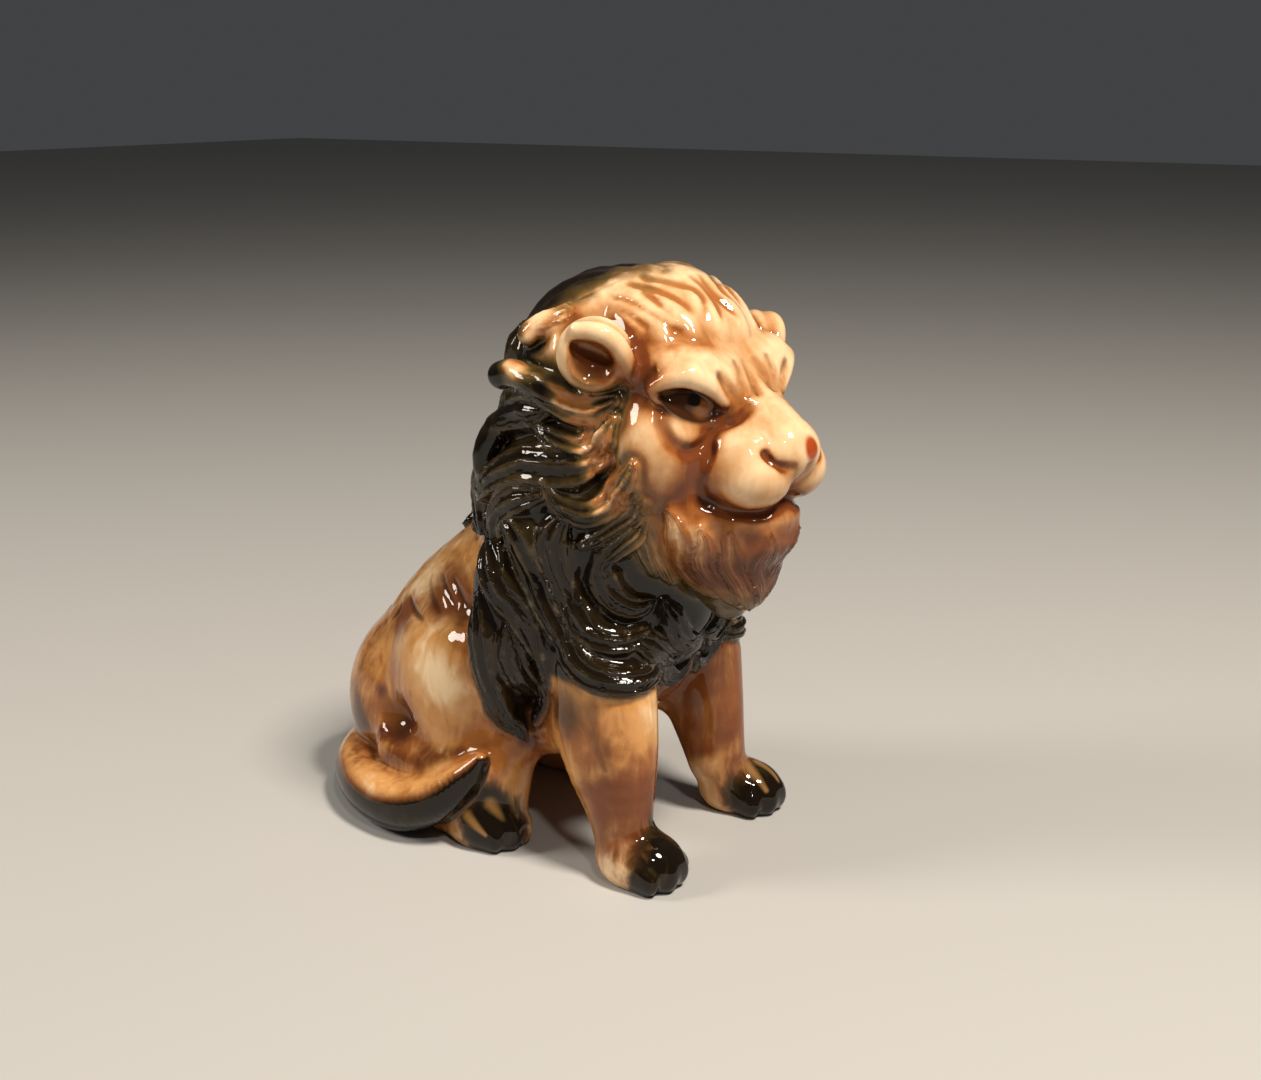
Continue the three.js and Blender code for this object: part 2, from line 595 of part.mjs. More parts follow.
function sampled(form) {
  const blocks = [0, 1, 2].map((n) => Math.ceil((SPAN.hi[n] - SPAN.lo[n]) / (CELL * BLOCK)));
  const nodes = blocks.map((n) => n * BLOCK + 1);
  const index = (i, j, k) => (k * nodes[1] + j) * nodes[0] + i;
  const values = new Float64Array(nodes[0] * nodes[1] * nodes[2]).fill(NaN);
  const place = (i, j, k) => [SPAN.lo[0] + i * CELL, SPAN.lo[1] + j * CELL, SPAN.lo[2] + k * CELL];
  const reach = CELL * BLOCK * 1.1;
  const active = [];
  for (let bz = 0; bz < blocks[2]; bz += 1) {
    for (let by = 0; by < blocks[1]; by += 1) {
      for (let bx = 0; bx < blocks[0]; bx += 1) {
        const middle = place((bx + 0.5) * BLOCK, (by + 0.5) * BLOCK, (bz + 0.5) * BLOCK);
        if (Math.abs(form.at(...middle, reach)) > reach) continue;
        active.push([bx * BLOCK, by * BLOCK, bz * BLOCK]);
        for (let k = bz * BLOCK; k <= (bz + 1) * BLOCK; k += 1) {
          for (let j = by * BLOCK; j <= (by + 1) * BLOCK; j += 1) {
            for (let i = bx * BLOCK; i <= (bx + 1) * BLOCK; i += 1) {
              const at = index(i, j, k);
              if (Number.isNaN(values[at])) values[at] = form.at(...place(i, j, k), 3) || 1e-9;
            }
          }
        }
      }
    }
  }
  return { active, nodes, values, index, place };
}

// Meshing by tetrahedra, which always closes: six of them round each cell's long diagonal

const CORNERS = [[0, 0, 0], [1, 0, 0], [0, 1, 0], [1, 1, 0], [0, 0, 1], [1, 0, 1], [0, 1, 1], [1, 1, 1]];
const TETRAHEDRA = [[0, 1, 3, 7], [0, 3, 2, 7], [0, 2, 6, 7], [0, 6, 4, 7], [0, 4, 5, 7], [0, 5, 1, 7]];

function meshed(form) {
  const { active, nodes, values, index, place } = sampled(form);
  const positions = [];
  const triangles = [];
  const made = new Map();
  const total = values.length;
  const where = (n) => {
    const i = n % nodes[0];
    const j = Math.floor(n / nodes[0]) % nodes[1];
    return place(i, j, Math.floor(n / (nodes[0] * nodes[1])));
  };
  const crossing = (a, b) => {
    const key = a < b ? a * total + b : b * total + a;
    let v = made.get(key);
    if (v === undefined) {
      const t = Math.min(0.95, Math.max(0.05, values[a] / (values[a] - values[b])));
      const pa = where(a);
      const pb = where(b);
      v = positions.length / 3;
      positions.push(...pa.map((p, k) => p + (pb[k] - p) * t));
      made.set(key, v);
    }
    return v;
  };
  const cell = (i, j, k) => {
    const corner = CORNERS.map(([a, b, c]) => index(i + a, j + b, k + c));
    const low = corner.filter((n) => values[n] < 0).length;
    if (low === 0 || low === 8) return;
    for (const four of TETRAHEDRA) {
      const [a, b, c, d] = four.map((n) => corner[n]);
      const inside = [a, b, c, d].filter((n) => values[n] < 0);
      const outside = [a, b, c, d].filter((n) => values[n] >= 0);
      if (inside.length === 0 || outside.length === 0) continue;
      let ring;
      if (inside.length === 1) ring = outside.map((n) => crossing(inside[0], n));
      else if (outside.length === 1) ring = inside.map((n) => crossing(n, outside[0]));
      else {
        ring = [crossing(inside[0], outside[0]), crossing(inside[0], outside[1]),
          crossing(inside[1], outside[1]), crossing(inside[1], outside[0])];
      }
      facing(ring, inside[0], outside[0]);
      triangles.push(ring[0], ring[1], ring[2]);
      if (ring.length === 4) triangles.push(ring[0], ring[2], ring[3]);
    }
  };
  const point = (v) => new THREE.Vector3(positions[3 * v], positions[3 * v + 1], positions[3 * v + 2]);
  // Turns a ring of vertices round, if need be, so that it faces away from the inside
  const facing = (ring, inner, outer) => {
    const [p, q, r] = ring.map(point);
    const normal = q.sub(p).cross(r.sub(p));
    const out = new THREE.Vector3(...where(outer)).sub(new THREE.Vector3(...where(inner)));
    if (normal.dot(out) < 0) ring.reverse();
  };
  for (const [x, y, z] of active) {
    for (let k = z; k < z + BLOCK; k += 1) {
      for (let j = y; j < y + BLOCK; j += 1) {
        for (let i = x; i < x + BLOCK; i += 1) cell(i, j, k);
      }
    }
  }
  return { positions: Float64Array.from(positions), triangles: Int32Array.from(triangles) };
}

// Thinning: edges are closed up in the order of what that costs in shape

class Heap {
  constructor() {
    this.items = [];
  }

  push(item) {
    const { items } = this;
    let i = items.push(item) - 1;
    while (i > 0) {
      const up = (i - 1) >> 1;
      if (items[up].cost <= items[i].cost) break;
      [items[up], items[i]] = [items[i], items[up]];
      i = up;
    }
  }

  pop() {
    const { items } = this;
    const top = items[0];
    const last = items.pop();
    if (items.length === 0) return top;
    items[0] = last;
    let i = 0;
    for (;;) {
      let low = i;
      for (const child of [2 * i + 1, 2 * i + 2]) {
        if (child < items.length && items[child].cost < items[low].cost) low = child;
      }
      if (low === i) return top;
      [items[low], items[i]] = [items[i], items[low]];
      i = low;
    }
  }
}

function care(x, y, z) {
  return y < -22 && z > 74 ? FACE_CARE : 1;
}

function thinned({ positions, triangles }, wanted) {
  const count = positions.length / 3;
  const quadrics = Array.from({ length: count }, () => new Float64Array(10));
  const around = Array.from({ length: count }, () => new Set());
  const faces = [];
  for (let i = 0; i < triangles.length; i += 3) faces.push([triangles[i], triangles[i + 1], triangles[i + 2]]);
  const point = (v) => [positions[3 * v], positions[3 * v + 1], positions[3 * v + 2]];
  const normal = (p, q, r) => {
    const u = q.map((v, k) => v - p[k]);
    const w = r.map((v, k) => v - p[k]);
    return [u[1] * w[2] - u[2] * w[1], u[2] * w[0] - u[0] * w[2], u[0] * w[1] - u[1] * w[0]];
  };
  faces.forEach((face, f) => {
    const [p, q, r] = face.map(point);
    const n = normal(p, q, r);
    const area = Math.hypot(...n);
    const [a, b, c] = n.map((v) => v / (area || 1));
    const d = -(a * p[0] + b * p[1] + c * p[2]);
    const w = area * care(...p);
    const plane = [a * a, a * b, a * c, a * d, b * b, b * c, b * d, c * c, c * d, d * d];
    for (const v of face) {
      around[v].add(f);
      plane.forEach((value, k) => { quadrics[v][k] += value * w; });
    }
  });
  const error = (q, [x, y, z]) => q[0] * x * x + 2 * q[1] * x * y + 2 * q[2] * x * z + 2 * q[3] * x
    + q[4] * y * y + 2 * q[5] * y * z + 2 * q[6] * y + q[7] * z * z + 2 * q[8] * z + q[9];
  const best = (q, choices) => {
    const m = new THREE.Matrix3().set(q[0], q[1], q[2], q[1], q[4], q[5], q[2], q[5], q[7]);
    const size = Math.abs(q[0]) + Math.abs(q[4]) + Math.abs(q[7]);
    if (Math.abs(m.determinant()) > 1e-4 * size ** 3) {
      const v = new THREE.Vector3(-q[3], -q[6], -q[8]).applyMatrix3(m.invert());
      const [a, b] = choices;
      const span = Math.hypot(a[0] - b[0], a[1] - b[1], a[2] - b[2]);
      const middle = choices[2];
      if (Math.hypot(v.x - middle[0], v.y - middle[1], v.z - middle[2]) < span) choices.push(v.toArray());
    }
    return choices.map((p) => [error(q, p), p]).sort((s, t) => s[0] - t[0])[0];
  };
  const stamp = new Int32Array(count);
  const heap = new Heap();
  const offer = (a, b) => {
    const q = quadrics[a].map((v, k) => v + quadrics[b][k]);
    const pa = point(a);
    const pb = point(b);
    const [cost, target] = best(q, [pa, pb, pa.map((v, k) => (v + pb[k]) / 2)]);
    const length = (pa[0] - pb[0]) ** 2 + (pa[1] - pb[1]) ** 2 + (pa[2] - pb[2]) ** 2;
    heap.push({ cost: Math.max(0, cost) + 1e-4 * length, a, b, target, stamp: stamp[a] + stamp[b] });
  };
  const neighbours = (v) => {
    const found = new Set();
    for (const f of around[v]) for (const w of faces[f]) if (w !== v) found.add(w);
    return found;
  };
  for (let v = 0; v < count; v += 1) for (const w of neighbours(v)) if (v < w) offer(v, w);
  let left = faces.length;
  while (left > wanted && heap.items.length > 0) {
    const { a, b, target, stamp: then } = heap.pop();
    if (around[a].size === 0 || around[b].size === 0 || stamp[a] + stamp[b] !== then) continue;
    const near = neighbours(b);
    const shared = [...neighbours(a)].filter((v) => near.has(v));
    if (shared.length !== 2) continue;
    const turns = (v, other) => [...around[v]].some((f) => {
      const face = faces[f];
      if (face.includes(other)) return false;
      const before = normal(...face.map(point));
      const after = normal(...face.map((w) => (w === v ? target : point(w))));
      const dot = before[0] * after[0] + before[1] * after[1] + before[2] * after[2];
      return dot < 0.35 * Math.hypot(...before) * Math.hypot(...after) || Math.hypot(...after) < 1e-3;
    });
    if (turns(a, b) || turns(b, a)) continue;
    for (const f of [...around[b]]) {
      const face = faces[f];
      if (face.includes(a)) {
        for (const v of face) around[v].delete(f);
        faces[f] = null;
        left -= 1;
      } else {
        face[face.indexOf(b)] = a;
        around[a].add(f);
      }
    }
    around[b].clear();
    positions.set(target, 3 * a);
    quadrics[a].forEach((v, k) => { quadrics[a][k] = v + quadrics[b][k]; });
    stamp[a] += 1;
    const next = neighbours(a);
    for (const v of next) stamp[v] += 1;
    for (const v of next) {
      for (const w of neighbours(v)) {
        if (w === a || !next.has(w) || v < w) offer(v, w);
      }
    }
  }
  return faces.filter(Boolean);
}

// A solid of the joining library from a closed geometry, and back

function solidOf(wasm, geometry) {
  const bare = geometry.clone();
  bare.deleteAttribute('normal');
  bare.deleteAttribute('uv');
  const merged = mergeVertices(bare, 1e-5);
  return new wasm.Manifold(new wasm.Mesh({
    numProp: 3,
    vertProperties: new Float32Array(merged.attributes.position.array),
    triVerts: new Uint32Array(merged.index.array),
  }));
}

function geometryOf(solid) {
  const { vertProperties, triVerts } = solid.getMesh();
  const geometry = new THREE.BufferGeometry();
  geometry.setAttribute('position', new THREE.BufferAttribute(new Float32Array(vertProperties), 3));
  geometry.setIndex([...triVerts]);
  geometry.computeVertexNormals();
  return geometry;
}

function lionGeometry(wasm) {
  const surface = meshed(lionForm());
  const faces = thinned(surface, TRIANGLES);
  const geometry = new THREE.BufferGeometry();
  const corners = faces.flat().flatMap((v) => [...surface.positions.slice(3 * v, 3 * v + 3)]);
  geometry.setAttribute('position', new THREE.Float32BufferAttribute(corners, 3));
  const floor = new THREE.BoxGeometry(FLOOR_REACH, FLOOR_REACH, FLOOR_REACH);
  floor.translate(0, 0, -FLOOR_REACH / 2);
  const figure = geometryOf(solidOf(wasm, geometry).subtract(solidOf(wasm, floor)));
  figure.computeBoundingBox();
  const middle = figure.boundingBox.getCenter(new THREE.Vector3());
  return figure.translate(-middle.x, -middle.y, 0);
}

const wasm = await Module();
wasm.setup();

const glaze = new THREE.MeshStandardMaterial({ color: 0xb98a58, roughness: 0.16, metalness: 0 });
const lion = new THREE.Mesh(lionGeometry(wasm), glaze);
lion.name = 'lion_figure';

const figurine = new THREE.Group();
figurine.add(lion);

export default figurine;
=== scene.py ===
# %% [markdown]
# # A seated lion in glazed porcelain
# A slip cast figurine is one thin shell of clay, painted with sprayed and brushed colours under a thick
# clear glaze. So the scene is one piece, a fine mesh of the sculpture, and one finish. The packed
# part gives the frame: its box, its middle and the body that the piece rides on.

# %% The frame
import json
import math
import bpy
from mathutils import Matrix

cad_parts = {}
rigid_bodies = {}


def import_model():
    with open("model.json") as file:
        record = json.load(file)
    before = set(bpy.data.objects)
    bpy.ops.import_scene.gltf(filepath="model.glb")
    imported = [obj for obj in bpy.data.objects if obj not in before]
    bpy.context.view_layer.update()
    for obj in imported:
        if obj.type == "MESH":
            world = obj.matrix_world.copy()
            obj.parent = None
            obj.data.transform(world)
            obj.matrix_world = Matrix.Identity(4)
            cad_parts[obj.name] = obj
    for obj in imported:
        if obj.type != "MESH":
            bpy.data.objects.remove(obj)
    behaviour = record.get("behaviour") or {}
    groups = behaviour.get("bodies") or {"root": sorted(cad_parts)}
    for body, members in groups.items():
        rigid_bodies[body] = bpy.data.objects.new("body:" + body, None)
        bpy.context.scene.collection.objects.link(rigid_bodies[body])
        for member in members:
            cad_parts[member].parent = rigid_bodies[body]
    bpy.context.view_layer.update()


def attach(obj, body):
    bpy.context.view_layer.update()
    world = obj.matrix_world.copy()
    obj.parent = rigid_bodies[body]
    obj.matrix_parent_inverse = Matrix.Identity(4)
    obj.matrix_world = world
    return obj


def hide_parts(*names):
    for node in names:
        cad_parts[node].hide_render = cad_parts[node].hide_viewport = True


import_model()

from concurrent.futures import ThreadPoolExecutor
import bpy
import numpy as np
from mathutils import Vector

MM = 0.001
CENTRE = np.array([-1.9306, 7.7455, 0.0])  # where the part's origin lies among the sculpture's numbers
F = np.float32

# %% [markdown]
# ## Sculpting with distances
# A sculptor adds pellets of clay and smooths the joins. A signed distance field does the same with
# numbers: each shape says how far a point is from its skin, and a smooth minimum joins two shapes with a
# fillet. Sculpt brushes or metaballs could make such forms too, but a field can be repeated exactly,
# it takes creases and hair locks in the same way, and it tells later how hollow each place is.
# All sizes here are millimetres, and the lion looks along -Y with its right side at -X.

# %% Joining shapes
def smooth_min(a, b, k):
    if k <= 0:
        return np.minimum(a, b)
    h = np.clip(0.5 + 0.5 * (b - a) / k, 0, 1)
    return b + (a - b) * h - k * h * (1 - h)

def turned(rx, ry, rz):
    (cx, cy, cz), (sx, sy, sz) = (f(np.radians([rx, ry, rz])) for f in (np.cos, np.sin))
    about_x = np.array([[1, 0, 0], [0, cx, -sx], [0, sx, cx]])
    about_y = np.array([[cy, 0, sy], [0, 1, 0], [-sy, 0, cy]])
    about_z = np.array([[cz, -sz, 0], [sz, cz, 0], [0, 0, 1]])
    return (about_z @ about_y @ about_x).astype(F)

def spline(points, steps):
    """A smooth path through points with any number of components."""
    given = np.array(points, float)
    if len(given) == 2:
        t = np.linspace(0, 1, steps + 1)[:, None]
        return given[0] * (1 - t) + given[1] * t
    given = np.vstack([2 * given[0] - given[1], given, 2 * given[-1] - given[-2]])
    a, b, c, d = (v[:, None] for v in (given[:-3], given[1:-2], given[2:-1], given[3:]))
    t = (np.arange(steps) / steps)[None, :, None]
    bend, twist = 2 * a - 5 * b + 4 * c - d, 3 * b - a - 3 * c + d
    out = 0.5 * (2 * b + (c - a) * t + bend * t ** 2 + twist * t ** 3)
    return np.vstack([out.reshape(-1, given.shape[1]), given[-2:-1]])

def nearest(p, path, radius=None):
    """For each point: the nearest step of a path, the share of that step, and the way out from it."""
    middle = path.mean(0)
    q, a = p - middle, path - middle
    ab = a[1:] - a[:-1]
    l2 = np.maximum((ab * ab).sum(1), 1e-9)
    s = q @ ab.T - (a[:-1] * ab).sum(1)
    t = np.clip(s / l2, 0, 1)
    d = (q * q).sum(1)[:, None] - 2 * (q @ a[:-1].T) + (a[:-1] ** 2).sum(1) - t * (2 * s - t * l2)
    if radius is not None:
        d = np.sqrt(np.maximum(d, 0)) - (radius[:-1] + t * (radius[1:] - radius[:-1]))
    i = d.argmin(1)
    t = t[np.arange(len(p)), i]
    return i, t, q - a[i] - t[:, None] * ab[i]

print("a fillet of 2 where two skins meet:", smooth_min(np.array([0.0]), np.array([0.0]), 2.0))

# %% [markdown]
# ## Balls, limbs, creases and locks
# Four shapes and a flat floor are enough. A ball is a stretched and turned pellet. A limb is a roll
# whose thickness changes along a path. A crease is a tool mark. A lock is a flat, tapering band of hair
# that lies on the skin below it, with a few strands pressed into its back.

# %% The shapes
class Ball:
    def __init__(self, centre, radii, turn=(0, 0, 0)):
        self.c, self.r, self.m = np.array(centre, F), np.array(radii, F), turned(*turn)
        self.lo, self.hi = self.c - self.r.max(), self.c + self.r.max()

    def __call__(self, p):
        q = (p - self.c) @ self.m / self.r
        k0 = np.sqrt(np.einsum("ij,ij->i", q, q))
        q /= self.r
        k1 = np.sqrt(np.einsum("ij,ij->i", q, q))
        return k0 * (k0 - 1) / np.maximum(k1, 1e-6)

class Limb:
    def __init__(self, points, steps=5):
        s = spline(points, steps).astype(F)
        self.path, self.r = s[:, :3], s[:, 3]
        self.lo, self.hi = self.path.min(0) - self.r.max(), self.path.max(0) + self.r.max()

    def __call__(self, p):
        i, t, v = nearest(p, self.path, self.r)
        return np.linalg.norm(v, axis=1) - (self.r[i] + t * (self.r[i + 1] - self.r[i]))

class Crease:
    def __init__(self, points, radius, depth, open_ends):
        self.path = spline(points, 4)[:, :3].astype(F)
        self.radius, self.depth, self.open = radius, depth, open_ends
        self.lo, self.hi = self.path.min(0) - 2.2 * radius, self.path.max(0) + 2.2 * radius

    def __call__(self, p):
        i, t, v = nearest(p, self.path)
        share = (i + t) / (len(self.path) - 1)
        ends = 1 if self.open else np.sqrt(np.clip(4 * share * (1 - share), 0, 1))
        return self.depth * ends * np.exp(-(v * v).sum(1) / self.radius ** 2)

class Lock:
    def __init__(self, path, outward, width, thick, strands, comb):
        self.path, self.out = path.astype(F), outward.astype(F)
        self.w, self.t, self.strands, self.comb = width, thick, strands, comb
        self.lo = self.path.min(0) - max(width, thick)
        self.hi = self.path.max(0) + max(width, thick)

    def place(self, p):
        """Where points lie on the lock: along it, across it, aside and above, and its width there."""
        i, f, v = nearest(p, self.path)
        share = (i + f) / (len(self.path) - 1)
        n = self.out[i] + (self.out[i + 1] - self.out[i]) * f[:, None]
        full = np.minimum(1, 3.2 * share + 0.35) * np.sqrt(np.maximum(0.02, 1.02 - share ** 2.5))
        lift = (v * n).sum(1)
        s = v - lift[:, None] * n
        side = np.linalg.norm(s, axis=1)
        along = self.path[i + 1] - self.path[i]
        across = np.minimum(1.2, side / (self.w * full)) * np.sign((np.cross(along, n) * s).sum(1))
        return share, across, side, lift, full

    def __call__(self, p):
        share, across, side, lift, full = self.place(p)
        crest = 0.5 - 0.5 * np.cos(np.pi * self.strands * (across + 1))
        pressed = np.where(np.abs(across) < 0.95, 1 - self.comb * (1 - crest), 1)
        w, t = self.w * full, self.t * (0.4 + 0.6 * full) * pressed
        return (np.sqrt((side / w) ** 2 + (lift / t) ** 2) - 1) * np.minimum(w, t) * 0.9

class Floor:
    lo, hi = np.array([-500, -500, -500], F), np.array([500, 500, 500], F)

    def __call__(self, p):
        return p[:, 2]

print("a ball of 10 mm, seen from 12 mm:", Ball((0, 0, 0), (10, 10, 10))(np.array([[12, 0, 0]], F)))

# %% [markdown]
# ## Two frames
# The head looks a little to the lion's right. Its forms are placed as if it looked straight ahead, and
# a point is turned into that frame before it is measured. Forms that are alike on both sides are
# written once, for the right side, and the point is folded over the middle.

# %% The field
TURN, PIVOT = math.radians(8.0), -12.0
MOAT_DEPTH, MOAT_WIDTH = 0.4, 1.0

def to_head(p):
    c, s = p.dtype.type(math.cos(TURN)), p.dtype.type(math.sin(TURN))
    q, dy = p.copy(), p[:, 1] - p.dtype.type(PIVOT)
    q[:, 0] = p[:, 0] * c - dy * s
    q[:, 1] = p.dtype.type(PIVOT) + p[:, 0] * s + dy * c
    return q

def from_head(p):
    q, dy = p.copy(), p[:, 1] - PIVOT
    q[:, 0] = p[:, 0] * math.cos(TURN) + dy * math.sin(TURN)
    q[:, 1] = PIVOT - p[:, 0] * math.sin(TURN) + dy * math.cos(TURN)
    return q

def folded(p):
    q = p.copy()
    q[:, 0] = -np.abs(q[:, 0])
    return q

class Field:
    def __init__(self, steps=()):
        self.steps = list(steps)

    def add(self, shape, k, both=True, head=False):
        self.steps.append(("add", shape, k, both, head))

    def add_all(self, forms, **where):
        for shape, k in forms:
            self.add(shape, k, **where)

    def cut(self, shape, k, both=True, head=False):
        self.steps.append(("cut", shape, k, both, head))

    def lay(self, shape, k, both=True, head=False):
        """Adds a shape and presses the skin down all round it, so that its edge stays crisp."""
        self.steps.append(("lay", shape, k, both, head))

    def crease(self, points, radius, depth, both=True, head=True, open_ends=False):
        self.steps.append(("press", Crease(points, radius, depth, open_ends), 0, both, head))

    def value(self, p, near):
        h = to_head(p)
        frames = {(False, False): p, (True, False): folded(p), (False, True): h, (True, True): folded(h)}
        ends = {k: (q.min(0), q.max(0)) for k, q in frames.items()}
        d = np.full(len(p), 1e3, F)
        for kind, shape, k, both, head in self.steps:
            reach = 0 if kind == "press" else near + k
            lo, hi = shape.lo - reach, shape.hi + reach
            low, high = ends[both, head]
            if (high < lo).any() or (low > hi).any():
                continue
            q = frames[both, head]
            inside = ((q >= lo) & (q <= hi)).all(1)
            if kind == "press":
                inside &= np.abs(d) < near
            m = np.flatnonzero(inside)
            if not len(m):
                continue
            v = shape(q[m])
            if kind == "press":
                d[m] += v
            elif kind == "add":
                d[m] = smooth_min(d[m], v, k)
            elif kind == "lay":
                d[m] = smooth_min(d[m] + MOAT_DEPTH * np.exp(-(v / MOAT_WIDTH) ** 2), v, k)
            else:
                d[m] = -smooth_min(-d[m], v, k)
        return d

def evaluate(field, p, near=6.0, block=18.0):
    """Signed distances at many points, worked out block by block on all cores."""
    p = np.ascontiguousarray(p, F)
    key = np.floor(p / F(block)).astype(np.int64) @ np.array([1, 1000, 1000000])
    order = np.argsort(key, kind="stable")
    groups = np.split(order, np.flatnonzero(np.diff(key[order])) + 1)
    out = np.empty(len(p), F)
    def work(group):
        out[group] = field.value(p[group], near)
    with ThreadPoolExecutor(4) as pool:
        list(pool.map(work, groups))
    return out

def gradient(field, p, e):
    g = np.empty((len(p), 3))
    for axis in range(3):
        s = np.zeros(3, F)
        s[axis] = e
        g[:, axis] = (evaluate(field, p + s) - evaluate(field, p - s)) / (2 * e)
    return g

def unit(v):
    return v / np.maximum(np.linalg.norm(v, axis=1, keepdims=True), 1e-6)

MIDDLE, FACE, FACE_MIDDLE = dict(both=False), dict(head=True), dict(both=False, head=True)
print("head turned by", round(math.degrees(TURN), 1), "degrees")

# %% [markdown]
# ## The body
# The lion sits upright: a rump that rests on the floor, a back that climbs to the mane, straight front
# legs and folded hind legs. The left front leg is a little slimmer than the right one, as the two
# halves of a mould never match exactly. Each paw is a pad with four toes.

# %% Torso, legs and tail
TORSO = [
    (Ball((0, 48, 20), (20, 22, 21.5)), 0),
    (Limb([(0, 10, 60, 20), (0, 32, 42, 21), (0, 44, 26, 21.5)]), 8),
    (Ball((0, -3, 50), (18, 21, 22)), 8),
    (Ball((0, 12, 38), (16, 20, 16)), 8),
]
HIND_LEGS = [
    (Ball((-17, 28, 33), (11, 15, 19), (-8, 0, 0)), 5),
    (Ball((-20, 21, 41), (7.5, 8, 9)), 5),
    (Limb([(-21, 41, 16, 6.6), (-22.6, 30, 14.5, 7), (-21.6, 17, 17, 7.5)]), 5),
    (Limb([(-17, 14, 26, 7), (-20, 14, 12, 6.5)]), 4),
    (Limb([(-21, 39, 6, 6.5), (-21.5, 28, 4.5, 6), (-22.5, 17, 5, 7)]), 3),
]
BEHIND_HEEL = Ball((-27, 40.5, 24.5), (6, 5.4, 4.4), (0, 0, 20))
BELLY_SIDES = [(Limb([(-17, -8, 32, 6), (-15.5, 1, 28, 6), (-14.5, 10, 26, 6.5), (-15, 16, 22, 6)]), 5)]
PAWS = [(-20.6, -24.5, 1), (25, -23.2, 1), (-22.7, 15.2, 0.9), (22.7, 15.2, 0.9)]
TOES = [(-5.4, 2.2, 0.86), (-1.9, 0, 1), (1.9, 0, 1), (5.4, 2.2, 0.86)]
TAIL = [(0, 58, 12, 7), (-8, 62, 7.5, 7), (-18, 57, 6.5, 7), (-26.5, 46, 6.5, 6.8), (-30.2, 34, 7, 6.4),
        (-30.6, 24, 11, 5.2), (-29.5, 17, 17, 3.6), (-28.5, 13, 22, 1.6)]

def front_leg(side, slim):
    x = side * slim
    back = [(19, -11, 46, 8.5 - slim), (19.3, -10.5, 35, 7.8 - slim), (20, -12, 25, 6.9 - slim),
            (20.4, -16.8, 13, 5)]
    front = [(side * 19 - x, -16, 47, 7.8 - slim), (side * 19.6 - x, -17.5 + 0.6 * slim, 42, 8 - slim),
             (side * 20.4 - x, -19 + slim, 28, 7.6 - slim), (side * 20.5 + 0.3 * x, -20 + slim, 13, 5.8),
             (side * 20.5 + 2.5 * x, -20 + slim, 6, 6.4)]
    return [(Ball((side * (15 - 1.5 * slim), -6, 50), (10, 14, 17)), 6),
            (Limb([(side * aside - x, *rest) for aside, *rest in back]), 4), (Limb(front), 4)]

def paw(x, y, spread):
    toes = [(Ball((x + aside * spread, y - 5.7 + back, 3.9 * size), (2.4 * size, 4, 4.1 * size),
                  (0, 0, aside * 2.5)), 1) for aside, back, size in TOES]
    return [(Ball((x, y, 4.6), (7.8, 9.6, 6.9)), 3), *toes]

def body_form():
    f = Field()
    f.add_all(TORSO, **MIDDLE)
    f.add_all(HIND_LEGS)
    f.cut(BEHIND_HEEL, 3)
    f.add_all(front_leg(-1, 0) + front_leg(1, 1), **MIDDLE)
    f.add_all(BELLY_SIDES)
    for row in PAWS:
        f.add_all(paw(*row), **MIDDLE)
    f.add(Limb(TAIL, steps=6), 2, **MIDDLE)
    return f

BODY = body_form()
print("body:", len(BODY.steps), "forms")

# %% [markdown]
# ## The mass of the mane and the head
# Under the hair lies one big egg of clay, and the head stands out of it: skull, brow, muzzle, cheeks,
# chin and the core of the beard.

# %% Mane and head
MANE_MASS = [
    (Ball((0, -3, 57), (25.5, 23.5, 18)), 6),
    (Ball((0, -2, 78), (28.5, 27.5, 27)), 6),
    (Ball((0, -5.5, 103.5), (25, 22.5, 23)), 6),
    (Limb([(-21, 8, 62, 9), (-22, 9.5, 48, 8), (-21.5, 11, 34, 4.5)]), 4),
]
DOME, DOME_RADII = np.array([0, -18, 111.7]), (16.5, 14.5, 17.3)
HEAD_FORMS = [
    (Ball((0, -20, 106), (19.5, 17.5, 18)), 5),
    (Ball(DOME, DOME_RADII), 4.5),
    (Limb([(-16.5, -28.5, 109.5, 4), (-12.5, -33.5, 109.8, 5), (-6, -35.5, 107.5, 5.5)]), 4),
    (Limb([(0, -27, 101, 11), (0, -37, 98.5, 9.5), (0, -46.8, 94.7, 7.2)]), 5),
    (Ball((0, -49.6, 94.4), (6.5, 5, 4.6)), 2.5),
    (Ball((-5.9, -44.3, 89.6), (7.8, 8.3, 7)), 1.5),
    (Ball((-6.5, -41, 94.5), (6.5, 8, 6)), 3),
    (Ball((-9.5, -36, 91), (6, 7, 7)), 3),
    (Ball((-15, -27, 94), (8.5, 9.5, 12)), 4),
    (Ball((0, -42, 80), (9.5, 7.8, 5)), 2),
    (Ball((-8, -33, 80), (9, 9, 8)), 4),
    (Ball((0, -40.5, 75.5), (8.5, 8, 4.5)), 3),
    (Limb([(0, -30, 76, 13), (0, -34, 68, 9.5), (0, -34.5, 60.5, 4.5)]), 4),
]

BARE = Field(BODY.steps)
BARE.add_all(MANE_MASS)
BARE.add_all(HEAD_FORMS, **FACE)
print("bare lion:", len(BARE.steps), "forms")

# %% [markdown]
# ## Hair
# The mane is a few dozen locks, each pressed by hand. A row below gives a lock's places by their
# turn about the mane's upright axis, their height and a lift, and then its half width and half
# thickness. The script walks in from outside until it meets the bare form, so that each lock lies on
# the skin wherever that is. The rows at the back hang in the same way, like tiles.

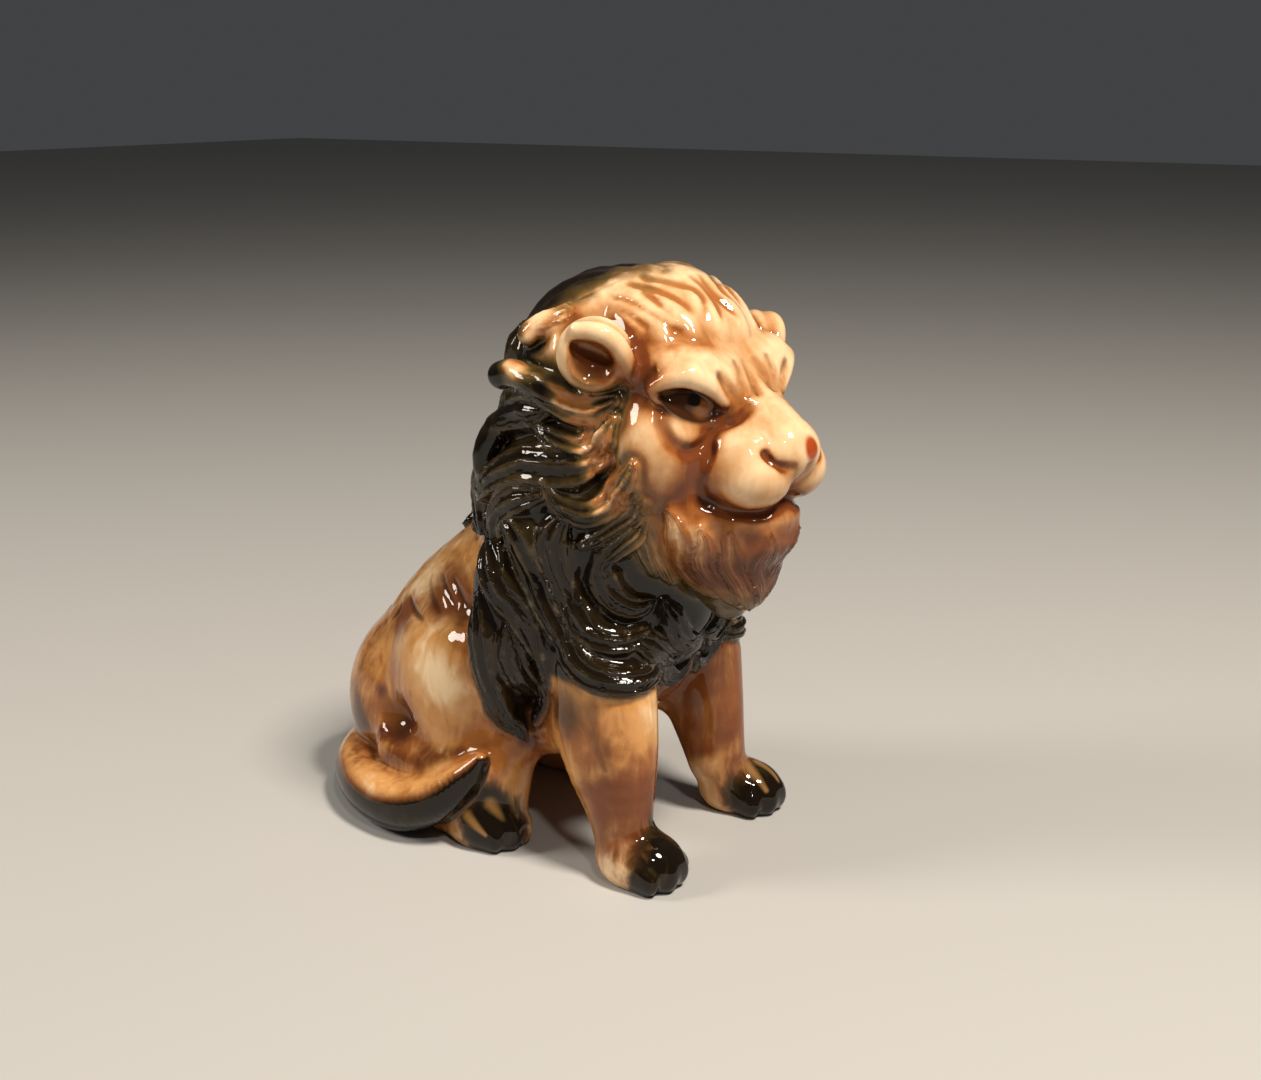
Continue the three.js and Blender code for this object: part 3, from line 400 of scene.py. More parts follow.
# %% The locks
SIDE_LOCKS = [
    ([(55, 104), (66, 102), (78, 103), (95, 105.5), (110, 106.5, 1)], 4.8, 4),
    ([(80, 119.5), (92, 118), (103, 114.5, 1.5)], 3.2, 3),
    ([(56, 100), (60, 96.5), (70, 93.2), (84, 94.8), (97, 97.5, 0.5)], 4.4, 4),
    ([(88, 101), (104, 100), (117, 97, 1), (126, 93, 2)], 5, 4),
    ([(58, 92), (78, 89.5), (98, 89), (117, 85), (132, 79, 1)], 6, 4.2),
    ([(49, 92), (52, 86.5), (58, 82.5), (67, 80.5), (78, 82), (86, 86, 1)], 3.8, 4),
    ([(45, 85), (48, 80.5), (59, 76.5), (72, 73.5, 0.5)], 3.2, 3),
    ([(41, 79.5), (50, 75.5), (59, 71.5), (66, 66, 0.5)], 3.2, 3),
    ([(86, 84), (101, 81.5), (112, 77.5), (115, 72), (110, 68, 0.5)], 3.8, 3.2),
    ([(109, 78), (99, 74), (94, 67), (89, 60.5), (80, 54.5), (74, 50, 0.5)], 5, 3.4),
    ([(76, 80), (82, 74), (80, 67), (74, 60), (70, 56)], 4.2, 3),
    ([(124, 76), (114, 69), (105, 62), (98, 55), (92, 47), (90, 40)], 4.5, 3),
    ([(116, 60), (114, 50), (114, 40), (116, 31), (112, 26)], 4, 2.8),
    ([(104, 54), (104, 45), (106, 37), (108, 30)], 3.6, 2.6),
]
BIB_LOCKS = [
    ([(62, 72), (60, 66), (55, 62), (46, 60), (36, 61)], 4, 3),
    ([(74, 64), (71, 58), (64, 54.5), (52, 53.5), (38, 55)], 4.2, 3),
    ([(80, 56), (74, 51), (66, 47.5), (54, 46), (40, 46), (28, 49)], 4, 2.8),
    ([(48, 54), (36, 50), (24, 47), (12, 48)], 3.8, 2.8),
    ([(30, 60), (24, 54), (14, 50), (4, 50)], 3.6, 2.6),
    ([(36, 47), (26, 43.5), (14, 41.5), (4, 44)], 3.6, 2.8),
]
BEARD_LOCKS = [
    ([(48, 87), (46, 80), (42, 73), (36, 67)], 3.4, 1.7),
    ([(43, 84), (39, 77), (33, 70), (27, 65)], 3.6, 1.8),
    ([(36, 82), (32, 75), (27, 69), (20, 64)], 3.4, 1.8),
    ([(29, 79), (26, 73), (20, 67), (13, 62)], 3.4, 1.8),
    ([(21, 78), (18, 71), (13, 65), (7, 60)], 3.2, 1.8),
    ([(12, 77), (10, 70), (6, 64), (1, 58.5)], 3.2, 1.8),
    ([(3, 77), (2, 70), (-2, 62)], 3, 1.8),
]
ROLLS = [
    [(66, 102, -1, 1.6), (82, 103.5, 0, 2.4), (98, 106, 0.6, 2.9), (110, 107, 1.6, 3.1), (118, 106, 3, 3)],
    [(90, 120, -1, 1.6), (97, 117.5, 0.8, 2.5), (104, 114.5, 1.8, 2.6)],
    [(100, 100.5, -1, 2), (114, 98, 0.6, 2.8), (125, 94, 2.1, 3.2), (129, 88, 1.4, 3), (128, 82, -0.4, 2)],
]
MANE_AXIS = -3.0  # y of the upright axis that the locks are laid around
COMB = 0.16  # depth of the grooves between a lock's strands, as a share of its thickness
SINK = 0.25  # how far a lock is sunk into the mane, as a share of its thickness
OUT_OF_MANE, OUT_OF_DOME = 60, 34  # how far out the walk to the skin starts
LOCK_FILLET, BEARD_FILLET, STRAND_FILLET = 1.2, 1.6, 2.2

def rear_locks():
    """Rows of like locks, each row set half a lock aside of the one above, up to the middle of the back."""
    rows, in_row, drop, apart = 3, 3, 13, 17
    first, top, middle = 138, 112, 181
    locks = []
    for row in range(rows):
        for n in range(in_row):
            turn = first + apart * n + (apart / 2 if row % 2 else 0)
            z = top - drop * row - 2 * n
            if turn <= middle:
                places = [(turn - 8, z + 4), (turn, z - 2), (turn + 3, z - 9), (turn - 3, z - 15, 1)]
                locks.append((places, 4.8, 3.2))
    return locks

def walked_in(centre, way, start):
    """Points on the bare lion's skin, reached from outside along ways towards centres."""
    t = np.full(len(way), float(start))
    for _ in range(40):
        v = evaluate(BARE, centre + way * t[:, None], near=200.0, block=60.0)
        t -= np.where(v > 0.02, np.maximum(v * 0.8, 0.02), 0)
    return centre + way * t[:, None]

def laid(rows, side):
    paths = [spline([list(p) + [0] * (3 - len(p)) for p in places], 3) for places, width, thick in rows]
    s = np.vstack(paths)
    a = side * np.radians(s[:, 0])
    way = np.column_stack([-np.sin(a), -np.cos(a), 0 * a])
    p = walked_in(np.column_stack([0 * a, 0 * a + MANE_AXIS, s[:, 1]]), way, OUT_OF_MANE)
    n = unit(gradient(BARE, p, 0.6))
    out, k = [], 0
    for path, (places, width, thick) in zip(paths, rows):
        m = slice(k, k + len(path))
        k += len(path)
        out.append((p[m] + n[m] * (s[m, 2:3] - thick * SINK), n[m], width, thick))
    return out

MANE = Field()
MANE.add_all(MANE_MASS)
HAIR = []  # every lock with the frame that it lies in, for the comb and the paint
for side in (1, -1):
    rolls = laid([([p[:3] for p in places], 1, 0) for places in ROLLS], side)
    for (path, n, w, t), places in zip(rolls, ROLLS):
        MANE.lay(Limb(np.hstack([path, spline(places, 3)[:, 3:]]), steps=1), LOCK_FILLET, **MIDDLE)
    for path, n, width, thick in laid(SIDE_LOCKS + BIB_LOCKS + rear_locks(), side):
        HAIR.append((Lock(path, n, width, thick, 3, COMB), MIDDLE))
        MANE.lay(HAIR[-1][0], LOCK_FILLET, **MIDDLE)
BEARD = Field()
for path, n, width, thick in laid(BEARD_LOCKS, 1):
    outward = to_head(n + [0, PIVOT, 0]) - [0, PIVOT, 0]
    HAIR.append((Lock(to_head(path), outward, width, thick, 2, COMB), FACE))
    BEARD.add(HAIR[-1][0], BEARD_FILLET, **FACE)
print("locks:", len(HAIR))

# %% [markdown]
# ## The hair on the skull
# Over the skull the hair is a smooth cap, combed back in a few broad swells with fine lines between them.
# The swells are round limbs sunk in the dome, and the lines are creases. Both are laid on it in the same
# way, with places given by the turn and the rise round the dome's middle.

# %% Swells and lines
SWELLS = [(76, 15), (55, 16), (34, 17), (12, 16)]
BACK_STRANDS = [116, 134, 152, 171]
CROWN_LINES = [
    [(92, 31), (80, 27), (71, 23), (64, 20)],
    [(128, 38), (104, 38), (84, 37), (70, 32), (58, 27), (48, 20), (40, 17)],
    [(78, 47), (66, 42), (55, 34), (45, 27)],
    [(128, 46), (104, 50), (80, 51), (62, 48), (48, 44), (38, 38), (31, 30)],
    [(106, 60), (60, 60), (30, 55), (19, 47), (20, 37), (24, 25)],
    [(14, 68), (4, 56), (4, 42), (8, 30), (12, 19)],
]

def skull_strands():
    rows = []
    for turn, end in SWELLS:
        sweep = 36 * min(1, turn / 36)
        rows.append([(turn + sweep, end + 34, 1.5, 0.9), (turn + sweep * 0.5, end + 19, 3.2, 0.78),
                     (turn + sweep * 0.1, end + 7, 3.2, 0.74), (turn, end, 1.8, 0.65)])
    for turn in BACK_STRANDS:
        rows.append([(turn - 22, 72, 1.2, 1), (turn - 8, 52, 2.4, 0.7), (turn, 32, 2.8, 0.6),
                     (turn + 3, 14, 2.4, 0.6), (turn - 2, 2, 1.4, 0.8)])
    return rows

def on_dome(rows):
    """Points of the head's frame where ways out from the dome's middle meet the skin, and those ways."""
    paths = [spline(row, 3) for row in rows]
    table = np.vstack(paths)
    a, e = np.radians(table[:, :2]).T
    way = np.column_stack([-np.sin(a) * np.cos(e), -np.cos(a) * np.cos(e), np.sin(e)])
    turned_way = from_head(way + [0, PIVOT, 0]) - [0, PIVOT, 0]
    centre = np.repeat(from_head(DOME[None].astype(float)), len(way), axis=0)
    p = to_head(walked_in(centre, turned_way, OUT_OF_DOME))
    return p, way, table[:, 2:], np.cumsum([len(s) for s in paths])[:-1]

def limbs_on_dome(rows):
    p, way, extra, ends = on_dome(rows)
    radius, sunk = extra.T
    p = np.column_stack([p - way * (radius * sunk)[:, None], radius])
    return [Limb(path, steps=1) for path in np.split(p, ends)]

STRANDS = limbs_on_dome(skull_strands())
print("strands:", len(STRANDS))

# %% [markdown]
# ## Ears, eyes and the carving of the face
# The ear is a ball with a hollow and a fold. The eye is cut into the skull, an eyeball is set in, and
# two rolls make the lids. The muzzle, the mouth, the nostrils and the furrows of the brow are creases.

# %% The face
EAR_TURN = 42  # how far the ears look aside, in degrees

def add_ear(f, side, x, y, z, size):
    angle = math.radians(EAR_TURN)
    outward = np.array([side * math.cos(angle), -math.sin(angle), 0])
    backward = np.array([side * math.sin(angle), math.cos(angle), 0])
    middle = np.array([side * x, y, z])
    def at(out, back, up):
        return tuple(middle + size * (out * outward + back * backward + np.array([0, 0, up])))
    def ball(place, radii, tilt=0):
        return Ball(at(*place), np.array(radii) * size, (tilt, 0, side * -EAR_TURN))
    f.add(ball((0, 0, 0), (4.6, 7.6, 7.6)), 2, **FACE_MIDDLE)
    f.cut(ball((5.2, 0.6, -1.1), (4.4, 5.1, 5.3)), 1.2, **FACE_MIDDLE)
    f.cut(ball((2.4, 0.4, 0.6), (3.4, 4.6, 2.4), 26), 0.8, **FACE_MIDDLE)
    fold = [(2.8, 3.4, 5.4, 1.5), (3.7, -0.8, 5, 2), (3.8, -4.2, 2.8, 2), (2.8, -6.4, -1, 1.8),
            (0.8, -7.4, -4.6, 1.5)]
    f.add(Limb([(*at(*p[:3]), p[3] * size) for p in fold]), 1.4, **FACE_MIDDLE)

EARS = [(-1, 24.6, -19.3, 113.3, 1), (1, 25.2, -20.8, 109.4, 1.03)]
EYE_TILT = (0, 20, -42)
SOCKET = Ball((-14.7, -35.7, 104.0), (7.4, 2.8, 3.5), EYE_TILT)
EYEBALL = Ball((-12.2, -32.6, 103.8), (7.2, 4.2, 4.6), EYE_TILT)

def add_eyes(f):
    f.cut(SOCKET, 1, **FACE)
    f.add(EYEBALL, 0.3, **FACE)
    f.add(Limb([(-19.8, -30.4, 107.2, 1.3), (-18.2, -33.4, 109.2, 1.9), (-15.6, -35.9, 109.8, 2.2),
                (-12.2, -38.1, 107.9, 2.1), (-9, -39.5, 104.4, 1.5)]), 1.2, **FACE)
    f.add(Limb([(-19.6, -30.5, 105.6, 0.7), (-17.3, -33.4, 102.7, 0.9), (-14.4, -35.6, 100.6, 0.9),
                (-11, -37.4, 99.8, 0.8), (-8.8, -39, 101, 0.6)]), 1.2, **FACE)
    f.add(Ball((-15.4, -34, 97.4), (5, 2.8, 2.9), (0, 12, -42)), 1.5, **FACE)

MOUTH_CORNER = [(-14, -38, 85), (-12, -41, 83.4), (-9.2, -43.8, 82.3), (-5.5, -47.6, 82.4)]
MOUTH_MIDDLE = [(-5.5, -47.6, 82.4), (-2.5, -49.3, 84.2), (0, -50, 85.4)]
PHILTRUM = [(0, -50.5, 85), (0, -53, 89), (0, -54.5, 92)]
MUZZLE = [(-5.5, -43.5, 104), (-9.8, -40.8, 97), (-14, -39.2, 93.5), (-15.4, -38.2, 89.9), (-14.3, -38.2, 86),
          (-12.5, -40.2, 83.6)]
NOSTRIL = [(-8, -48.6, 95.8), (-8.2, -49.2, 94.2), (-6.9, -50.9, 92.7), (-5, -52.6, 92.2),
           (-3.4, -53.6, 92.6)]
UNDER_EYE = [(-18.9, -31.4, 104), (-20, -33.2, 99.6), (-18.9, -35.2, 96.3), (-15.7, -37.1, 95),
             (-10.6, -38.8, 97.6), (-7.6, -41, 100.4)]
FURROWS = [[(-1.6, -39, 112), (-2.4, -42, 106.8), (-2.9, -43.2, 104.5)],
           [(-5.2, -39.4, 112), (-5.4, -41.6, 108), (-5.2, -42.8, 105)],
           [(-11, -39.4, 110), (-8.6, -41, 106.4), (-7, -42.3, 103.4)],
           [(-22, -27.5, 108.4), (-20, -29, 110.4), (-18.8, -30.6, 111)]]

LINE_WIDTH, LINE_DEPTH = 0.9, 0.6
line_points, _, _, line_ends = on_dome(CROWN_LINES)
COMBED = np.split(line_points, line_ends)
TUFTS = [[(-15.4, 37.6, 57.1), (-19.1, 33.5, 53.5), (-22.3, 28.1, 50.8)],
         [(-15.8, 33.1, 58.6), (-18.5, 30.1, 56.2), (-21.3, 24.9, 52.4)],
         [(-17.8, 28.3, 58.6), (-19.9, 24.3, 55.3), (-21.1, 21.9, 52.8)],
         [(-14.5, 46.1, 49.1), (-15.9, 46.4, 46.7), (-15.5, 49.5, 43.7)],
         [(-14.9, 43.7, 51.0), (-18.9, 39.1, 49.5), (-23.1, 32.3, 48.6)],
         [(-10.6, 48, 51), (-12.6, 50, 48), (-12.2, 53, 45)]]

CREASES = [(UNDER_EYE, 1.3, 1.2), (MUZZLE, 1.3, 1.6), (MOUTH_CORNER, 0.9, 1.3), (NOSTRIL, 0.9, 0.8),
           *((places, 1.2, 0.7) for places in FURROWS),
           *((places, LINE_WIDTH, LINE_DEPTH) for places in COMBED)]
NOSTRIL_HOLE = [(-8, -49.2, 94.7), (-7.7, -49.8, 94)]

def press_face(f):
    for row in CREASES:
        f.crease(*row)
    f.crease(MOUTH_MIDDLE, 0.9, 1, open_ends=True)
    f.crease(PHILTRUM, 0.8, 1.1, both=False, open_ends=True)
    f.crease(NOSTRIL_HOLE, 1, 0.5, open_ends=True)
    for places in TUFTS:
        f.crease(places, LINE_WIDTH, LINE_DEPTH, head=False)

HEAD = Field()
HEAD.add_all(HEAD_FORMS, **FACE)
LION = Field(BARE.steps + MANE.steps[len(MANE_MASS):] + BEARD.steps)
for ear in EARS:
    add_ear(LION, *ear)
for strand in STRANDS:
    LION.add(strand, STRAND_FILLET, **FACE)
add_eyes(LION)
press_face(LION)
LION.cut(Floor(), 0.8, **MIDDLE)
print("whole lion:", len(LION.steps), "steps")

# %% [markdown]
# ## From distances to a mesh
# A grid is laid round the lion, and each cell that the skin crosses gets one point, where the skin
# crosses its edges on average. Only cells near the skin are worked out finely. Then each point is moved
# along the field's slope onto the skin itself, which removes the steps of the grid.

# %% The mesh
def surface_nets(val, lines):
    inside = val < 0
    nx, ny, nz = val.shape
    corners = [(i, j, k) for i in (0, 1) for j in (0, 1) for k in (0, 1)]
    count = sum(inside[i:nx - 1 + i, j:ny - 1 + j, k:nz - 1 + k].astype(np.int8) for i, j, k in corners)
    cells = np.argwhere((count > 0) & (count < 8))
    index = np.full(count.shape, -1, np.int64)
    index[tuple(cells.T)] = np.arange(len(cells))
    total, n = np.zeros((len(cells), 3)), np.zeros(len(cells))
    for a in corners:
        for axis in range(3):
            if a[axis]:
                continue
            b = list(a)
            b[axis] = 1
            va, vb = val[tuple((cells + a).T)], val[tuple((cells + b).T)]
            m = (va < 0) != (vb < 0)
            point = np.tile(np.array(a, float), (len(cells), 1))
            point[m, axis] += va[m] / (va[m] - vb[m])
            total[m] += point[m]
            n[m] += 1
    offset = total / n[:, None]
    spots = [lines[a][cells[:, a]] + offset[:, a] * (lines[a][1] - lines[a][0]) for a in range(3)]
    quads = []
    for axis in range(3):
        u, v = (axis + 1) % 3, (axis + 2) % 3
        near, far = [slice(1, -1)] * 3, [slice(1, -1)] * 3
        near[axis], far[axis] = slice(0, -1), slice(1, None)
        a, b = inside[tuple(near)], inside[tuple(far)]
        for leaving in (True, False):
            e = np.argwhere(a & ~b if leaving else ~a & b)
            e[:, [u, v]] += 1
            ring = []
            for du, dv in ((1, 1), (0, 1), (0, 0), (1, 0)):
                c = e.copy()
                c[:, u] -= du
                c[:, v] -= dv
                ring.append(index[tuple(c.T)])
            q = np.column_stack(ring)
            quads.append(q if leaving else q[:, ::-1])
    return np.column_stack(spots), np.vstack(quads)

def onto_skin(field, p, cell, near):
    d = evaluate(field, p, near)
    g = np.empty((len(p), 3))
    for axis in range(3):
        s = np.zeros(3, F)
        s[axis] = cell * 0.4
        g[:, axis] = (evaluate(field, p + s, near) - d) / (cell * 0.4)
    for _ in range(2):
        step = -(d / np.maximum((g * g).sum(1), 0.15))[:, None] * g
        length = np.linalg.norm(step, axis=1, keepdims=True)
        p = p + step * np.minimum(1, 0.6 * cell / np.maximum(length, 1e-9))
        d = evaluate(field, p, near)
    return p

def meshed(field, lo, hi, cell, coarse=4):
    near = 2.5 * cell + 1
    n = np.ceil((np.array(hi) - lo) / (cell * coarse)).astype(int) * coarse + 1
    lines = [lo[i] + cell * np.arange(n[i]) for i in range(3)]
    step = cell * coarse
    grid = np.stack(np.meshgrid(*[line[::coarse] for line in lines], indexing="ij"), -1)
    rough = evaluate(field, grid.reshape(-1, 3), near=step * 2).reshape(grid.shape[:3])
    val = rough
    for axis in range(3):
        val = np.repeat(val, coarse, axis=axis)
    val = np.ascontiguousarray(val[:n[0], :n[1], :n[2]], F)
    ends = [rough[i:rough.shape[0] - 1 + i, j:rough.shape[1] - 1 + j, k:rough.shape[2] - 1 + k]
            for i in (0, 1) for j in (0, 1) for k in (0, 1)]
    blocks = np.argwhere(np.min([np.abs(v) for v in ends], axis=0) < step * 0.95)
    inner = np.stack(np.meshgrid(*[np.arange(coarse + 1)] * 3, indexing="ij"), -1).reshape(-1, 3)
    touched = np.zeros(n, bool)
    touched[tuple((blocks[:, None, :] * coarse + inner[None]).reshape(-1, 3).T)] = True
    at = np.argwhere(touched)
    val[touched] = evaluate(field, np.column_stack([lines[a][at[:, a]] for a in range(3)]), near=near)
    co, quads = surface_nets(val, lines)
    return onto_skin(field, co, cell, near), quads

CELL = 0.5
LOW_CORNER, HIGH_CORNER = (-48.0, -64.0, -8.0), (48.0, 84.0, 138.0)  # of the grid
co, quads = meshed(LION, LOW_CORNER, HIGH_CORNER, CELL)
co[:, 2] = np.maximum(co[:, 2], 0)
print("points", len(co), "faces", len(quads))

# %% [markdown]
# ## Combing the hair
# Each lock carries a few thin raised lines that follow it. They could be sculpted one by one, but
# Geometry Nodes can raise them all from two numbers that each point carries: how far it lies across its
# lock, and how much it is hair. A slow noise makes the lines waver, as a hand does.

# %% Where each point lies on its lock
def hair_lines(p):
    """How far each point lies across its lock (-1 to 1), and how surely it is on a lock at all."""
    world, head = p.astype(F), folded(to_head(p.astype(F)))
    across_lock = np.zeros(len(p), F)
    gap = np.ones(len(p), F)
    for lock, where in HAIR:
        q = head if where is FACE else world
        m = np.flatnonzero(((q >= lock.lo - 0.5) & (q <= lock.hi + 0.5)).all(1))
        v = np.abs(lock(q[m]))
        nearer = v < gap[m]
        if nearer.any():
            m = m[nearer]
            across_lock[m], gap[m] = lock.place(q[m])[1], v[nearer]
    on_lock = np.clip(1.4 - 1.4 * gap, 0, 1) * np.clip(1.25 - np.abs(across_lock) ** 3, 0, 1)
    return across_lock, on_lock

def new_mesh(name, co, faces):
    mesh = bpy.data.meshes.new(name)
    mesh.from_pydata(((co - CENTRE) * MM).tolist(), [], faces.tolist())
    mesh.update()
    return mesh

def give(mesh, name, values):
    mesh.attributes.new(name, "FLOAT", "POINT").data.foreach_set("value", np.ascontiguousarray(values, F))

rough = new_mesh("rough", co, quads)
across_lock, on_lock = hair_lines(co)
give(rough, "across", across_lock)
give(rough, "hair_line", on_lock)
print("points on locks", int((on_lock > 0.5).sum()))

# %% The comb as a node tree
KINDS = {"vector": "NodeSocketVector", "value": "NodeSocketFloat", "geometry": "NodeSocketGeometry",
         "material": "NodeSocketMaterial"}

def plug(socket, value):
    """Links another node's output to a socket, or sets the socket's own value."""
    if isinstance(value, bpy.types.NodeSocket):
        socket.id_data.links.new(value, socket)
    else:
        socket.default_value = (*value, 1) if socket.type == "RGBA" else value

def node(tree, kind, inputs=None, **settings):
    """A new node with its settings, and with its inputs given by name or by number."""
    made = tree.nodes.new(kind)
    for key, value in settings.items():
        setattr(made, key, value)
    for key, value in (inputs or {}).items():
        plug(made.inputs[key], value)
    return made

def math_node(tree, operation, *values):
    return node(tree, "ShaderNodeMath", dict(enumerate(values)), operation=operation).outputs[0]

def vector_node(tree, operation, *values):
    return node(tree, "ShaderNodeVectorMath", dict(enumerate(values)), operation=operation).outputs

def scaled_vector(tree, vector, scale):
    return node(tree, "ShaderNodeVectorMath", {0: vector, "Scale": scale}, operation="SCALE").outputs[0]

def group(name, ins, outs, kind="ShaderNodeTree"):
    """A node group, with its inputs and outputs as they are seen from inside."""
    tree = bpy.data.node_groups.new(name, kind)
    for rows, way in ((ins, "INPUT"), (outs, "OUTPUT")):
        for key, sort in rows:
            tree.interface.new_socket(key, in_out=way, socket_type=KINDS[sort])
    return tree, node(tree, "NodeGroupInput").outputs, node(tree, "NodeGroupOutput").inputs

def comb_tree():
    tree, start, end = group("combed hair", [("Geometry", "geometry"), ("Ridges", "value"),
        ("Height", "value"), ("Waver", "value"), ("Seed", "value"), ("Material", "material")],
        [("Geometry", "geometry")], "GeometryNodeTree")
    across, amount = (node(tree, "GeometryNodeInputNamedAttribute", {"Name": name},
                           data_type="FLOAT").outputs["Attribute"] for name in ("across", "hair_line"))
    here = node(tree, "GeometryNodeInputPosition").outputs[0]
    noise = node(tree, "ShaderNodeTexNoise", {"Scale": 180.0, "Detail": 1.0, "Vector": here,
                                              "W": start["Seed"]}, noise_dimensions="4D")
    wander = math_node(tree, "SUBTRACT", noise.outputs[0], 0.5)
    place = math_node(tree, "ADD", across, math_node(tree, "MULTIPLY", wander, start["Waver"]))
    turns = math_node(tree, "MULTIPLY", math_node(tree, "MULTIPLY", place, start["Ridges"]), math.pi)
    swing = math_node(tree, "MULTIPLY_ADD", math_node(tree, "COSINE", turns), 0.5, 0.5)
    wave = math_node(tree, "MULTIPLY", math_node(tree, "POWER", swing, 3.0), amount)
    depth = math_node(tree, "MULTIPLY", wave, start["Height"])
    push = scaled_vector(tree, node(tree, "GeometryNodeInputNormal").outputs[0], depth)
    moved = node(tree, "GeometryNodeSetPosition", {"Geometry": start["Geometry"], "Offset": push})
    whole = node(tree, "GeometryNodeRealizeInstances", {0: moved.outputs[0]})
    painted = node(tree, "GeometryNodeSetMaterial", {"Geometry": whole.outputs[0],
                                                     "Material": start["Material"]})
    plug(end[0], painted.outputs[0])
    return tree

def placed(name, data):
    thing = bpy.data.objects.new(name, data)
    bpy.context.collection.objects.link(thing)
    return thing

def modified(mesh, kind, set_up):
    """The mesh as one modifier leaves it."""
    thing = placed("work", mesh)
    set_up(thing.modifiers.new("work", kind))
    made = bpy.data.meshes.new_from_object(thing.evaluated_get(bpy.context.evaluated_depsgraph_get()))
    bpy.data.objects.remove(thing)
    return made

GLAZE = bpy.data.materials.new("lion_glaze")
GLAZE.use_nodes = True
COMB_INPUTS = dict(Ridges=3.0, Height=0.0003, Waver=0.7, Seed=3.0, Material=GLAZE)

def comb(modifier):
    modifier.node_group = comb_tree()
    for item in modifier.node_group.interface.items_tree:
        if item.in_out == "INPUT" and item.name in COMB_INPUTS:
            modifier[item.identifier] = COMB_INPUTS[item.name]

fine = modified(rough, "NODES", comb)
print("combed points", len(fine.vertices))

# %% [markdown]
# ## Fewer triangles where it is smooth
# Half a millimetre is finer than the rump needs. Decimation closes the edges that change the shape least,
# so the face and the hair keep their points and the smooth body gives up most of its own.

# %% Thinning
TRIANGLE_LIMIT = 196000

def thin(modifier):
    modifier.ratio = min(1.0, TRIANGLE_LIMIT / (2 * len(fine.polygons)))

def at_points(mesh, what):
    values = np.empty(len(mesh.vertices) * 3, F)
    mesh.vertices.foreach_get(what, values)
    return values.reshape(-1, 3).astype(float)

mesh = modified(fine, "DECIMATE", thin)
mesh.name = "porcelain_lion"
for name in ("across", "hair_line"):
    mesh.attributes.remove(mesh.attributes[name])
mesh.shade_smooth()
mesh.calc_loop_triangles()
spots, normals = at_points(mesh, "co") / MM + CENTRE, at_points(mesh, "normal")
print("triangles", len(mesh.loop_triangles), "points", len(spots))

# %% [markdown]
# ## Where the colours lie
# The painter sprayed tan and brown over the cream body, brushed the mane with black-brown, and the
# glaze ran off the ridges and gathered in the grooves. The colours also carry painted shade, darker in
# hollows, folds and recesses, and painted highlights, lighter on ridges and lit bulges. So the finish
# needs to know three things at each point: which part it is, how hollow the place is, and where it
# lies. The field answers all three, and the answers are kept on the mesh as soft numbers. Small crisp
# marks are left to the shader.

# %% Hair or body, face or mane
def smooth_step(low, high, x):
    t = np.clip((x - low) / (high - low), 0, 1)
    return t * t * (3 - 2 * t)

FACE_EDGE = np.array([(-2, -42, 60), (-5.9, -40.4, 61.3), (-11.7, -36, 64.2), (-11.4, -30.4, 64.6),
                      (-11, -25.9, 65.1), (-14.7, -23.9, 68.9), (-18.1, -23, 74.9), (-21.3, -24.5, 83.7),
                      (-22.8, -23.4, 87), (-24.6, -20.9, 93.2), (-23, -18.6, 100.4), (-22, -19.8, 105.5),
                      (-24, -14, 108), (-24.5, -2, 112), (-20.6, 0.1, 116.2), (-18.4, -3.1, 119.7),
                      (-15, -6.9, 122.7), (-8.3, -8.9, 126.4), (-3.6, -15.2, 128.7), (0, -16, 130)], float)

HEAD_AXIS = -6.0  # y of the upright axis that the face's edge runs around
HEAD_RADIUS = 24.0  # makes millimetres of a turn about that axis
CHIN = 60.0  # there is no face below this height
FACE_SPAN = 20.0  # the distances from the face's edge that the mesh keeps, from end to end
SEARCH = 9.0  # how far from the skin a form is still measured
BIB_BOTTOM, BIB_BACK = (42.5, 45), (6, 0)  # heights, and places along y, between which the bib fades in

def turn_and_height(p):
    q = folded(to_head(p))
    turn = np.arctan2(-q[:, 0], HEAD_AXIS - q[:, 1])
    return np.column_stack([turn * HEAD_RADIUS, q[:, 2]])

def face_side(p):
    """Millimetres from the line between face and mane, above 0 on the face."""
    line, at = turn_and_height(FACE_EDGE), turn_and_height(p)
    i, t, v = nearest(at, line)
    within = np.interp(at[:, 1], line[:, 1], line[:, 0]) > at[:, 0]
    return np.linalg.norm(v, axis=1) * np.where(within & (at[:, 1] > CHIN), 1, -1)

to_face = face_side(spots)
give(mesh, "face_side", np.clip(to_face / FACE_SPAN + 0.5, 0, 1))
from_body, from_mane, from_head_forms = (evaluate(form, spots, SEARCH) for form in (BODY, MANE, HEAD))
haired = smooth_step(-0.7, 0.7, from_body - np.minimum(from_mane, from_head_forms))
on_bib = smooth_step(*BIB_BOTTOM, spots[:, 2]) * smooth_step(*BIB_BACK, spots[:, 1])
give(mesh, "mane", np.maximum(haired, on_bib))
across_lock, on_lock = hair_lines(spots)
give(mesh, "across", across_lock)
give(mesh, "hair_line", on_lock)
give(mesh, "lock_edge", np.abs(across_lock) * on_lock)
print("face points", int((to_face > 0).sum()))

# %% Hollows and ridges
def crowding(reach):
    """How much of the way out from the skin is filled by other skin, from 0 to 1."""
    gap = evaluate(LION, spots + normals * reach, abs(reach) + 2.5)
    return np.clip((abs(reach) - np.abs(gap)) / abs(reach), 0, 1)

# hollow and valley darken the colours below as painted shade in creases and recesses; ridge lightens crests
# as painted sheen
for name, reach in (("hollow", 2.4), ("valley", 6.0), ("ridge", -1.1)):
    give(mesh, name, crowding(reach))
print("hollows, valleys and ridges measured")
